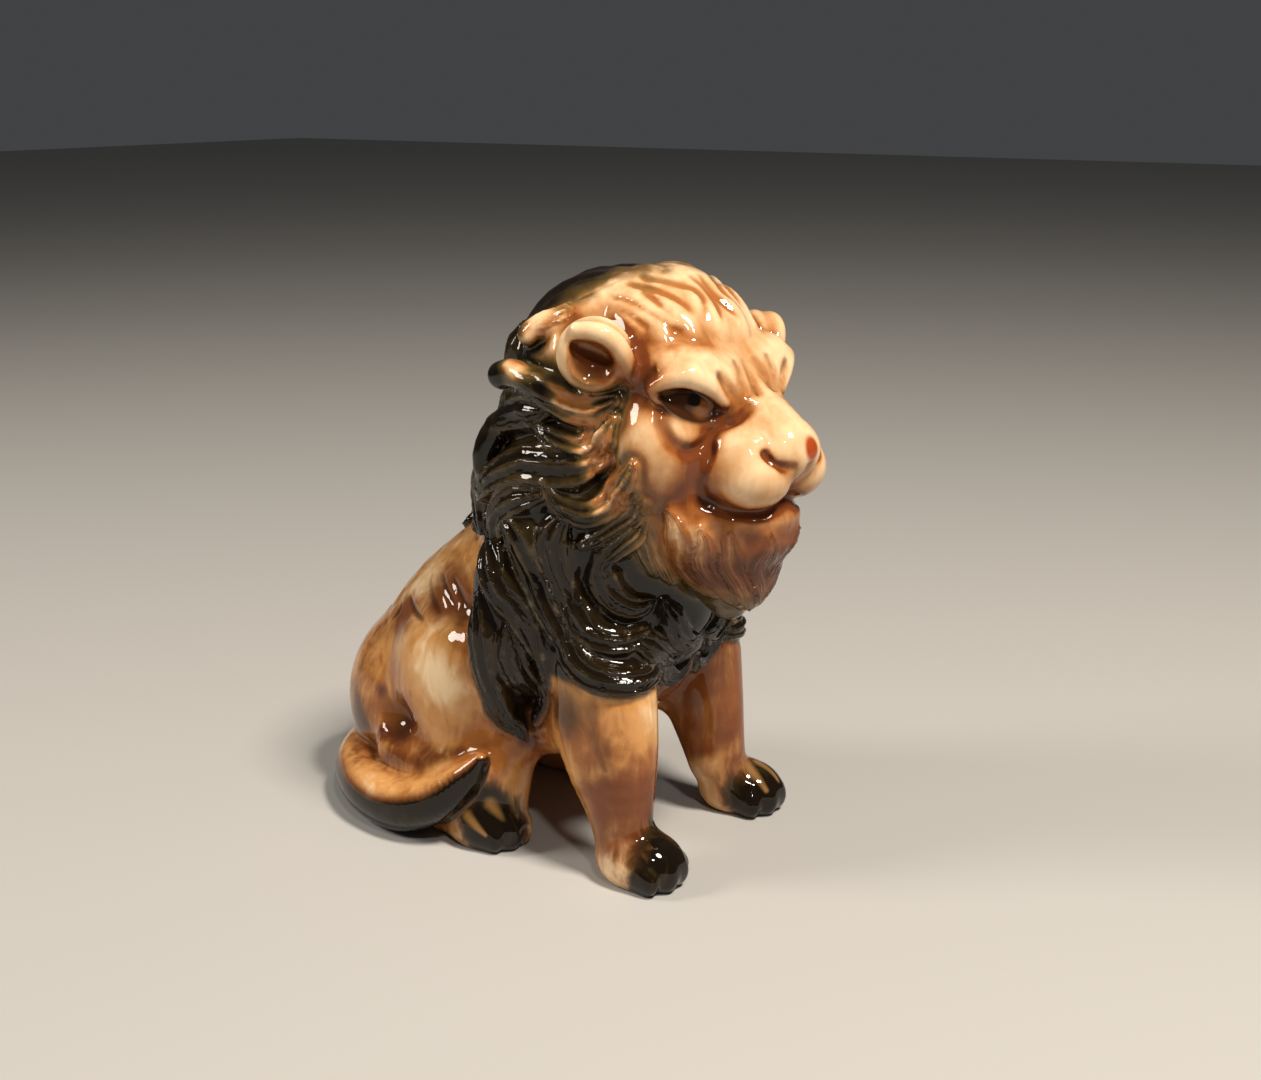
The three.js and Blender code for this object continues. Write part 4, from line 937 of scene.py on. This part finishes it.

# %% [markdown]
# ## Sprayed colour and painted shade
# A spray leaves soft clouds. Each row is a cloud: the place of its middle, its reach and its strength.
# Some clouds are painted shade or painted highlights rather than the lion's paint, as each list says.

# %% The clouds
SPRAYS = {
    # sprayed brown wash, and painted shade under the belly, between the legs and along the mane's edge
    "brown": [(-24, 40, 24, 10, 1), (-14, 52, 44, 10, 0.2), (-22, 46, 34, 8, 0.4), (-27, 18, 22, 7, 0.6),
        (-18, 60, 24, 10, 0.5), (0, 66, 30, 14, 0.6), (0, 50, 52, 12, 0.2), (-20, -20, 14, 6, 0.6),
        (-14, -14, 30, 8, 0.9), (-26, -14, 32, 6, 0.9), (-16, -14, 40, 6, 0.6), (20, -20, 30, 14, 1),
        (0, -16, 34, 12, 1), (-16, 6, 30, 12, 1), (16, 6, 30, 12, 1), (-22, 12, 14, 6, 0.7),
        (22, 12, 14, 8, 0.8), (0, 10, 22, 16, 1), (25, -18, 10, 6, 0.8), (-26, 30, 16, 8, 0.5),
        (-24, 18, 50, 7, 0.8), (24, 40, 24, 12, 0.9), (-20, -21, 26, 11, 0.9)],
    # red-brown paint, and painted shade on the far front leg and the chest between the legs
    "red": [(20, -18, 20, 11, 1.1), (20, -16, 38, 12, 1), (0, -16, 36, 13, 1), (-24, -22, 18, 11, 1.3),
        (-25, 40, 24, 6, 1), (-18, 57, 20, 7, 0.7), (-13, -12, 34, 7, 0.8), (-15, 4, 28, 10, 0.9),
        (15, 4, 28, 10, 0.9), (20, -28, 5, 6, 0.7), (-19.5, 28, 55, 8, 1.3), (-18, 43, 47, 6.5, 1.2),
        (-17, 58, 34, 7, 0.35), (-12, 50, 44, 6, 0.35), (-26, 34, 28, 4, 0.7), (-27, 30, 20, 4, 0.7),
        (-26.6, -19.4, 10.3, 4, 1), (-24, 52, 34, 6, 0.45), (-20, 58, 40, 6, 0.25), (25, 40, 24, 7, 0.8),
        (-27, 14, 40, 5, 0.6)],
    # dark brown paint, and painted shadow in the pocket by the heel, between tail and haunch, under the belly
    # and on the far leg
    "dark": [(-27, -9, 38, 7.5, 0.85), (-25, 40.5, 23.5, 5, 1.3), (-19.6, 58, 27, 5, 0.7),
        (-20.7, 56, 19, 5.5, 1), (-29, 40, 16.8, 3, 0.7), (-29.6, 30, 17.5, 3, 0.7), (-24, -10, 36, 5, 0.7),
        (-22.5, 22, 52, 4, 0.9), (-12, -10, 30, 5, 0.6), (20, -15, 28, 13, 0.55), (-21, 4, 26, 5, 0.7),
        (25, 40.5, 23.5, 4.2, 1), (18.2, -24.8, 8, 4, 0.6)],
    "black": [(-19, -32, 5, 9.2, 1.5), (-26, -28, 3, 3.5, 1), (-17, -25.5, 9.5, 4, 1),
        (25.5, -31, 4, 8, 1.4), (31, -27, 6, 6, 1.1), (18, -27, 5, 5, 0.8), (-28, 9, 5, 7.5, 1.4),
        (-29.5, 13, 12, 5, 1.1), (22.7, 6, 6, 8, 1.1)],
    # cream paint, and painted highlights where the light falls on the haunch, the front leg and the paws
    "light": [(-20, -28, 38, 6, 0.7), (-28, -20.3, 5.6, 3.5, 0.9), (-26, -22.5, 10.5, 2.5, 0.7),
        (-28, 24, 38, 8, 1), (-26, 42, 48, 6, 0.7), (-23, 7, 11, 3.5, 1), (-28, 26, 22, 5, 0.6),
        (-14, 40, 54, 5, 0.6), (-20, 50, 38, 4, 0.4)],
    # tan paint on the locks by the face, and painted light where these locks catch the lamp
    "warm_hair": [(-24.6, -11, 97, 5, 0.95), (-25, -15, 94.5, 3.5, 0.9), (-24.5, -15, 90.5, 3, 0.6),
        (-23.3, -18, 89.5, 3, 0.8), (-26, -17, 83, 3.5, 0.7), (-25.2, -19.8, 84.3, 3, 0.9),
        (-25.6, 5, 109.5, 4.5, 0.8), (-22.4, 0, 118, 3.5, 0.9), (-27, -9, 103.8, 3, 0.8),
        (-26, -14, 102.2, 3, 0.8), (-28.5, 3, 86, 8, 0.45), (-30, 0, 70, 7, 0.4)],
    # red-brown paint on the beard, and painted shade on the beard under the muzzle
    "beard_red": [(-2, -42, 66, 11, 1.6), (-9, -38, 65, 10, 1.5), (-3, -46, 76, 7, 1),
        (-14, -34, 66, 8, 0.8)],
    # warm blush on the face, and painted shade on the chin under the muzzle, in the ear and at the temple
    "blush": [(-27.5, -17.5, 112.5, 4.2, 1.3), (-25, -26, 108.5, 4.2, 1.3), (-17, -33, 91, 8, 0.9),
        (-8, -44, 99, 4, 0.45), (-12, -36, 100, 5, 0.4), (-14, -31, 112.5, 5, 0.5), (-20, -26, 86, 6, 0.6),
        (-8, -44, 79, 7, 0.8), (0, -50, 80, 6, 0.7), (-21, -23, 100, 4, 0.5), (-4, -50, 84, 4, 0.5),
        (-11, -46, 88, 6, 0.6), (-5, -53, 91, 3.5, 0.4), (-9, -47, 96, 3, 0.35)],
}
MIRRORED = ("warm_hair", "beard_red", "blush")

def sprayed(p, clouds):
    total = np.zeros(len(p))
    for *middle, reach, strength in clouds:
        cloud = strength * np.exp(-((p - middle) ** 2).sum(1) / reach ** 2)
        total = 1 - (1 - total) * (1 - np.clip(cloud, 0, 1))
    return total

def on_tail(p):
    path = spline(TAIL, 6)
    i, t, v = nearest(p, path[:, :3], path[:, 3])
    radius = path[i, 3] * (1 - t) + path[i + 1, 3] * t
    return smooth_step(1.6, 0.4, np.linalg.norm(v, axis=1) - radius)

for name, clouds in SPRAYS.items():
    give(mesh, name, sprayed(folded(spots) if name in MIRRORED else spots, clouds))
give(mesh, "tail_underside", on_tail(spots) * smooth_step(1.0, -0.1, normals[:, 2]))

def on_lines(p, lines):
    return np.max([Crease(line, LINE_WIDTH, 1.0, False)(p) for line in lines], axis=0)

give(mesh, "line", np.maximum(on_lines(folded(to_head(spots)), COMBED), on_lines(folded(spots), TUFTS)))
print("clouds of colour", {name: len(clouds) for name, clouds in SPRAYS.items()})

# %% [markdown]
# ## Node groups for marks
# An eye, a nose or a brushed stripe is too crisp for numbers on mesh points, so the shader draws them
# from the place itself. One group turns Object coordinates into the sculpture's millimetres and into the
# head's own frame, one makes a round spot, and one makes a brush stroke.

# %% The groups
def clear_step(tree, low, high, x):
    return node(tree, "ShaderNodeMapRange", {0: x, 1: low, 2: high},
                interpolation_type="SMOOTHSTEP").outputs[0]

def ended(tree, start, end, x):
    """Ends a group with a mask: full where x is below 1, with an edge as soft as asked."""
    low = math_node(tree, "SUBTRACT", 1.0, start["Softness"])
    high = math_node(tree, "ADD", 1.0, start["Softness"])
    plug(end["Mask"], math_node(tree, "SUBTRACT", 1.0, clear_step(tree, low, high, x)))
    return tree

def place_group():
    tree, _, end = group("lion places", [], [("World", "vector"), ("Head", "vector")])
    at = node(tree, "ShaderNodeTexCoord").outputs["Object"]
    world = vector_node(tree, "ADD", vector_node(tree, "MULTIPLY", at, (1 / MM,) * 3)[0], tuple(CENTRE))[0]
    turned_at = node(tree, "ShaderNodeVectorRotate", {"Vector": world, "Center": (0, PIVOT, 0),
                                                      "Angle": TURN}, rotation_type="Z_AXIS")
    x, y, z = node(tree, "ShaderNodeSeparateXYZ", {0: turned_at.outputs[0]}).outputs
    side = math_node(tree, "MULTIPLY", math_node(tree, "ABSOLUTE", x), -1.0)
    plug(end["World"], world)
    plug(end["Head"], node(tree, "ShaderNodeCombineXYZ", {0: side, 1: y, 2: z}).outputs[0])
    return tree

def spot_group():
    tree, start, end = group("round spot", [("Place", "vector"), ("Middle", "vector"),
        ("Size", "vector"), ("Turn", "vector"), ("Softness", "value")], [("Mask", "value")])
    away = vector_node(tree, "SUBTRACT", start["Place"], start["Middle"])[0]
    back = node(tree, "ShaderNodeVectorRotate", {"Vector": away, "Rotation": start["Turn"]},
                rotation_type="EULER_XYZ", invert=True)
    sized = vector_node(tree, "DIVIDE", back.outputs[0], start["Size"])[0]
    return ended(tree, start, end, vector_node(tree, "LENGTH", sized)["Value"])

def stroke_group():
    tree, start, end = group("brush stroke", [("Place", "vector"), ("From", "vector"),
        ("To", "vector"), ("Radius", "value"), ("Softness", "value")], [("Mask", "value")])
    way = vector_node(tree, "SUBTRACT", start["To"], start["From"])[0]
    away = vector_node(tree, "SUBTRACT", start["Place"], start["From"])[0]
    dots = [vector_node(tree, "DOT_PRODUCT", a, way)["Value"] for a in (away, way)]
    share = math_node(tree, "DIVIDE", *dots)
    share.node.use_clamp = True
    aside = vector_node(tree, "SUBTRACT", away, scaled_vector(tree, way, share))[0]
    gap = vector_node(tree, "LENGTH", aside)["Value"]
    taper = math_node(tree, "MULTIPLY_ADD", share, -0.6, 1.0)
    reach = math_node(tree, "MULTIPLY", start["Radius"], taper)
    return ended(tree, start, end, math_node(tree, "DIVIDE", gap, reach))

PLACES, SPOT, STROKE = place_group(), spot_group(), stroke_group()
print("groups", [g.name for g in (PLACES, SPOT, STROKE)])

# %% [markdown]
# ## The painted glaze
# Under the coat lies the colour, and the coat on top is the glass. The base is rough like biscuit clay
# and the coat is smooth and clear, which gives small sharp lights over soft colour. The colours are laid
# one over the other as on the bench: cream, sprays, brush strokes, mane, then eyes and nose.

# %% Colours
CREAM, PEACH, TAN = (0.82, 0.60, 0.36), (0.55, 0.29, 0.125), (0.27, 0.14, 0.045)
AMBER, WORN = (0.56, 0.27, 0.085), (0.46, 0.33, 0.19)
ORANGE, RUST, UMBER = (0.32, 0.11, 0.026), (0.16, 0.042, 0.012), (0.042, 0.014, 0.005)
OLIVE, BLACK, BISCUIT = (0.062, 0.039, 0.012), (0.0075, 0.0045, 0.0022), (0.72, 0.68, 0.60)
NOSE_RED = (0.34, 0.055, 0.012)
print("paints from", CREAM, "to", BLACK)

# %% The shader
tree = GLAZE.node_tree
tree.nodes.clear()
shader = node(tree, "ShaderNodeBsdfPrincipled")
node(tree, "ShaderNodeOutputMaterial", {0: shader.outputs[0]})
WORLD, HEADED = node(tree, "ShaderNodeGroup", node_tree=PLACES).outputs

def attribute(name):
    return node(tree, "ShaderNodeAttribute", attribute_name=name).outputs["Fac"]

def calc(operation, *values):
    return math_node(tree, operation, *values)

def total(value, *terms):
    """A value with others added to it, each of them times its share."""
    for other, share in terms:
        value = calc("MULTIPLY_ADD", other, share, value)
    return value

def step(low, high, x):
    return clear_step(tree, low, high, x)

def noise(scale, detail, seed, distortion=0.0, stretch=None):
    at = vector_node(tree, "MULTIPLY", WORLD, stretch)[0] if stretch else WORLD
    return node(tree, "ShaderNodeTexNoise", {"Vector": at, "Scale": scale, "Detail": detail, "W": seed,
                                             "Distortion": distortion}, noise_dimensions="4D").outputs[0]

def painted(colour, *layers):
    """Lays paints over a colour in turn. A layer has a paint, a mask and, if not 1, its strength."""
    for paint, mask, *strength in layers:
        if strength:
            mask = calc("MULTIPLY", mask, *strength)
        colour = node(tree, "ShaderNodeMix", {0: mask, 6: colour, 7: paint}, data_type="RGBA").outputs[2]
    return colour

def spot(place, middle, size, turn=(0, 0, 0), softness=0.2):
    return node(tree, "ShaderNodeGroup", {"Place": place, "Middle": middle, "Size": size,
        "Turn": tuple(map(math.radians, turn)), "Softness": softness}, node_tree=SPOT).outputs[0]

def strokes(place, rows, softness):
    """A mask of brush strokes, each given by its two ends and its radius."""
    mask = 0.0
    for start, end, radius in rows:
        stroke = node(tree, "ShaderNodeGroup", {"Place": place, "From": start, "To": end,
            "Radius": radius, "Softness": softness}, node_tree=STROKE)
        mask = calc("MAXIMUM", mask, stroke.outputs[0])
    return mask

# hollow and valley carry painted shade into the colours, ridge carries painted sheen
hollow, valley, ridge = attribute("hollow"), attribute("valley"), attribute("ridge")
mane, across, hair_line = attribute("mane"), attribute("across"), attribute("hair_line")
blur = total(-1.0, (noise(0.10, 4.0, 1.0, 0.6), 2.0))
brushed = total(-1.0, (noise(0.22, 3.0, 9.0, 1.5, (1.4, 1.0, 0.45)), 2.0))
streaky = noise(0.35, 2.0, 2.0)
streaks = calc("SUBTRACT", streaky, 0.5)
print("inputs of the shader ready")

# %% The body's colours
# brown streaks down the right front leg, and painted shade on its left edge
LEG_STREAKS_AND_SHADE = [((-27.9, -16, 40), (-27.9, -16.8, 34), 1.8), ((-27.9, -16.8, 34), (-27.8, -19.6, 27), 1.6),
               ((-27.5, -19.5, 33), (-27, -21, 27), 1.2)]
# painted shadow in the folds between tail and haunch and in the pocket's crease, with some brown paint
FOLD_SHADE_STROKES = [((-29, 42, 16.5), (-30, 30, 18), 2.6), ((-30, 30, 18), (-27.8, 19, 22.5), 2.4),
                ((-22, 47, 29), (-25, 42.5, 30), 1.6), ((-24.5, 45, 20), (-27.5, 38, 19.5), 1.8)]
TOE_STROKES = [((22.3, -25, 11.6), (21.3, -31, 7), 1.3), ((26.2, -26, 11.2), (26, -32, 8), 1.2),
               ((-27.4, 11.5, 11.5), (-27, 6.5, 7.5), 1.2), ((-30.3, 16, 8.5), (-30, 11, 5), 1.1)]
# brown wash, darker in the valleys as painted shade, lighter where the light clouds lay painted highlights
brown = total(attribute("brown"), (attribute("light"), -0.9), (blur, 0.9), (valley, 0.7), (brushed, 0.7))
# red-brown paint, with painted shade on the far front leg
red = total(attribute("red"), (blur, 0.5), (brushed, 0.25))
# dark brown paint and painted shadow
dark = total(attribute("dark"), (blur, 0.35))
black = total(attribute("black"), (blur, 0.45), (brushed, 0.35))
under = total(attribute("tail_underside"), (blur, 0.25))
line = attribute("line")
# painted shadow in the folds
fold_shade = calc("MULTIPLY", strokes(WORLD, FOLD_SHADE_STROKES, 0.9), step(-0.9, 0.3, calc("ADD", brushed, blur)))
# darker in the hollows: paint gathered in the grooves, and painted shade
pooling_and_shade = step(0.25, 0.85, total(hollow, (blur, 0.2)))
# black glaze, lighter olive on its ridges as painted sheen
black_glaze_and_sheen = painted(BLACK, (OLIVE, step(0.0, 0.7, total(ridge, (blur, 0.6), (brushed, 0.5))), 0.8))
body_colour = painted(
    CREAM, (AMBER, step(-0.95, 0.15, brown)), (ORANGE, step(0.05, 0.9, brown)),
    (RUST, step(0.1, 1.0, red), 0.92), (UMBER, step(0.3, 1.0, dark), 0.9),
    (UMBER, step(0.1, 0.8, line), 0.75), (UMBER, strokes(WORLD, LEG_STREAKS_AND_SHADE, 0.9), 0.5),
    (RUST, fold_shade), (UMBER, fold_shade, 0.35), (UMBER, pooling_and_shade, 0.85),
    (UMBER, step(0.1, 0.55, black), 0.8), (black_glaze_and_sheen, step(0.3, 0.75, black)),
    (TAN, strokes(WORLD, TOE_STROKES, 0.8), 0.85),
    (RUST, step(0.1, 0.5, under), 0.8), (black_glaze_and_sheen, step(0.3, 0.75, under)))
print("nodes with the body", len(tree.nodes))

# %% The face's colours
LIPS = [(MOUTH_CORNER[0], MOUTH_CORNER[2], 0.75), (MOUTH_CORNER[2], MOUTH_CORNER[3], 0.5),
        (MOUTH_CORNER[3], MOUTH_MIDDLE[1], 0.4), (PHILTRUM[0], PHILTRUM[2], 0.35)]
MOUTH_END = (-13.2, -39.3, 84.4)
SHADES = [((-19.5, -32.5, 101), (-18.5, -35, 96.5), 1.6), ((-9.5, -40.5, 97), (-14, -39, 93.5), 1.2),
          ((-15, -38, 91), (-14.4, -38.4, 86.5), 1.3)]
# painted lines in the brow's furrows
BROW_LINES_AND_SHADES = []
for top, bend, foot in FURROWS[:3]:
    BROW_LINES_AND_SHADES += [(top, bend, 0.75), (bend, foot, 0.6)]
# painted shade at the temple and along the cheek's edge by the mane
BROW_LINES_AND_SHADES += [((-21.8, -24.5, 100), (-20.5, -27.5, 91), 1.6),
               ((-22.5, -27, 106.5), (-19.5, -30.2, 110.8), 1.7),
               ((-9.3, -41.3, 101.5), (-7.2, -42, 105), 0.9)]
NOSE_LINE = [(NOSTRIL[1], NOSTRIL[3], 0.7)]
# warm paint on the face, with painted shade: darker in hollows and valleys
warm_and_shade = total(attribute("blush"), (valley, 1.3), (blur, 0.8), (hollow, 1.6), (brushed, 0.35))
stripe = total(attribute("lock_edge"), (streaks, 1.2))
striped = calc("MULTIPLY", step(-0.1, 0.8, stripe), step(0.1, 0.5, hair_line))
# beard: red-brown paint and painted shade under the muzzle, with stripes along the locks
beard = total(attribute("beard_red"), (stripe, 0.55))
opening = spot(HEADED, (-14.6, -35.6, 103.8), (6.8, 3.4, 3.3), EYE_TILT, 0.16)
iris = spot(HEADED, (-12.6, -36.6, 103.2), (1.7, 3, 1.9), softness=0.5)
pupil = spot(HEADED, (-13.9, -35.5, 104.7), (1.35, 2, 1.35))
face_colour = painted(
    CREAM, (PEACH, step(-0.3, 0.7, warm_and_shade)), (ORANGE, step(0.4, 1.2, warm_and_shade)), (RUST, step(1.0, 1.6, warm_and_shade)),
    (ORANGE, step(0.1, 0.75, line), 0.9), (ORANGE, striped),
    (RUST, step(0.15, 1.15, beard), 0.9), (UMBER, step(0.75, 1.5, beard), 0.75),
    (UMBER, strokes(HEADED, LIPS, 0.6), 0.9),
    (UMBER, spot(HEADED, MOUTH_END, (1.7, 2.2, 1.5), softness=0.7), 0.8),
    (RUST, strokes(HEADED, SHADES, 0.8), 0.75), (UMBER, strokes(HEADED, BROW_LINES_AND_SHADES, 0.8), 0.6),
    (RUST, strokes(HEADED, NOSE_LINE, 0.8), 0.5),
    (NOSE_RED, spot(HEADED, (0, -55, 95.6), (2.0, 3, 2.5), softness=0.3)),
    (UMBER, opening), (ORANGE, calc("MULTIPLY", iris, opening), 0.6),
    (BLACK, calc("MULTIPLY", pupil, opening)))
print("nodes with the face", len(tree.nodes))

# %% The mane's colours
height = node(tree, "ShaderNodeSeparateXYZ", {0: WORLD}).outputs[2]
# olive on the ridges: glaze running thin there, and painted sheen, with less of it low on the bib
thin_glaze_and_sheen = total(ridge, (streaks, 0.6))
olive_and_sheen = calc("MULTIPLY", step(0.0, 0.7, thin_glaze_and_sheen), total(0.2, (step(62, 90, height), 0.5)))
worn = step(0.5, 0.95, total(ridge, (streaks, 1.1)))
edge = total(-FACE_SPAN / 2, (attribute("face_side"), FACE_SPAN), (blur, 2.5))
edge = calc("MAXIMUM", edge, -FACE_SPAN / 2)
# the paint's change from face to mane, with painted light: lighter on lit locks and crests, and painted shade
# in the hollows
lit = total(edge, (attribute("warm_hair"), 11.0), (thin_glaze_and_sheen, 6.0), (hollow, -8.0))
mane_colour = painted(BLACK, (OLIVE, olive_and_sheen), (WORN, worn, 0.35), (OLIVE, step(-6.5, -2.0, lit)),
                      (TAN, step(-3.0, 2.0, lit)), (face_colour, step(-1.0, 3.0, lit)))
print("nodes with the mane", len(tree.nodes))

# %% The glass coat
HAIR_RELIEF, CAST_RELIEF = 0.035, 0.2  # heights in mm of the brushed hair and of the uneven casting
BRUSH_LINES = 7  # across a lock
dry = calc("SUBTRACT", 1.0, step(0.05, 0.45, height))
wave = calc("COSINE", calc("MULTIPLY", total(across, (streaky, 0.5)), BRUSH_LINES * math.pi))
relief = total(calc("MULTIPLY", noise(0.16, 1.0, 5.0), CAST_RELIEF),
               (calc("MULTIPLY", wave, hair_line), HAIR_RELIEF))
bump = node(tree, "ShaderNodeBump", {"Strength": 1.0, "Distance": MM, "Height": relief}).outputs[0]
FINISH = {"Base Color": painted(body_colour, (mane_colour, mane), (BISCUIT, dry)),
          "Roughness": total(0.45, (dry, 0.35)), "Specular IOR Level": 0.0,
          "Coat Weight": calc("SUBTRACT", 1.0, dry), "Coat Roughness": 0.045, "Coat IOR": 1.43,
          "Normal": bump, "Coat Normal": bump}
for key, value in FINISH.items():
    plug(shader.inputs[key], value)
print("nodes in the finish", len(tree.nodes))

# %% [markdown]
# ## The piece
# The mesh already lies in the part's frame, so its object stays at the origin, unturned and unscaled.

# %% The piece rides on the body
lion = placed("porcelain_lion", mesh)
if not mesh.materials:
    mesh.materials.append(GLAZE)
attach(lion, "root")
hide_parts("lion_figure")
print("piece", lion.name, "materials", [m.name for m in mesh.materials])

# %% [markdown]
# ## Camera, light and floor
# The camera looks down a little at the lion's right front, from a bit over a third of a metre. A soft
# light stands high at the right of the picture, a small one gives the glints of the glaze, and a weak,
# wider one fills in from the left. The floor is grey and plain.

# %% The camera
TURN_OF_CAMERA, PITCH, YAW = math.radians(-55.5), 15.5, -1.0
DISTANCE, HEIGHT = 360, 167  # millimetres from the middle and above the floor
FOCAL, IMAGE_WIDTH = 1690, 1261  # pixels
away = np.array([math.sin(TURN_OF_CAMERA) * DISTANCE, -math.cos(TURN_OF_CAMERA) * DISTANCE, HEIGHT])
heading = math.atan2(-away[1], -away[0]) + math.radians(YAW)
down = math.radians(PITCH)
LOOK = Vector((math.cos(heading) * math.cos(down), math.sin(heading) * math.cos(down), -math.sin(down)))
lens = bpy.data.cameras.new("camera")
lens.sensor_width = 36
lens.lens = 36 * FOCAL / IMAGE_WIDTH
lens.clip_start = 0.01

def aimed(name, data, place, way):
    thing = placed(name, data)
    thing.location, thing.rotation_mode = place, "QUATERNION"
    thing.rotation_quaternion = way.to_track_quat("-Z", "Y")
    return thing

camera = aimed("camera", lens, Vector((away - CENTRE) * MM), LOOK)
bpy.context.scene.camera = camera
print("camera at", [round(v, 3) for v in camera.location])

# %% Light and floor
RIGHT = LOOK.cross(Vector((0, 0, 1))).normalized()
TOWARDS = Vector((LOOK.x, LOOK.y, 0)).normalized()
AIM = Vector((0, 0, 0.07))

def soft_light(name, right, back, up, size, power, tint):
    lamp = bpy.data.lights.new(name, "AREA")
    lamp.shape, lamp.size, lamp.energy, lamp.color = "DISK", size, power, tint
    place = AIM + RIGHT * right - TOWARDS * back + Vector((0, 0, up))
    aimed(name, lamp, place, AIM - place)

soft_light("key", 0.34, 0.34, 0.72, 0.18, 11.2, (1.0, 0.91, 0.80))
soft_light("glint", 0.12, 0.60, 0.60, 0.06, 1.4, (1.0, 0.94, 0.86))
soft_light("fill", -0.75, 0.10, 0.50, 0.30, 4.6, (1.0, 0.93, 0.84))
world = bpy.data.worlds.new("studio")
world.use_nodes = True
background = world.node_tree.nodes["Background"].inputs
plug(background["Color"], (0.9, 0.92, 0.95))
plug(background["Strength"], 0.06)
bpy.context.scene.world = world
ground = bpy.data.meshes.new("floor")
ground.from_pydata([(-3, -3, 0), (3, -3, 0), (3, 3, 0), (-3, 3, 0)], [], [(0, 1, 2, 3)])
paper = bpy.data.materials.new("paper")
paper.use_nodes = True
surface = paper.node_tree.nodes["Principled BSDF"].inputs
plug(surface["Base Color"], (0.43, 0.42, 0.40))
plug(surface["Roughness"], 0.8)
ground.materials.append(paper)
floor = placed("floor", ground)
bpy.context.scene.view_settings.view_transform = "Standard"
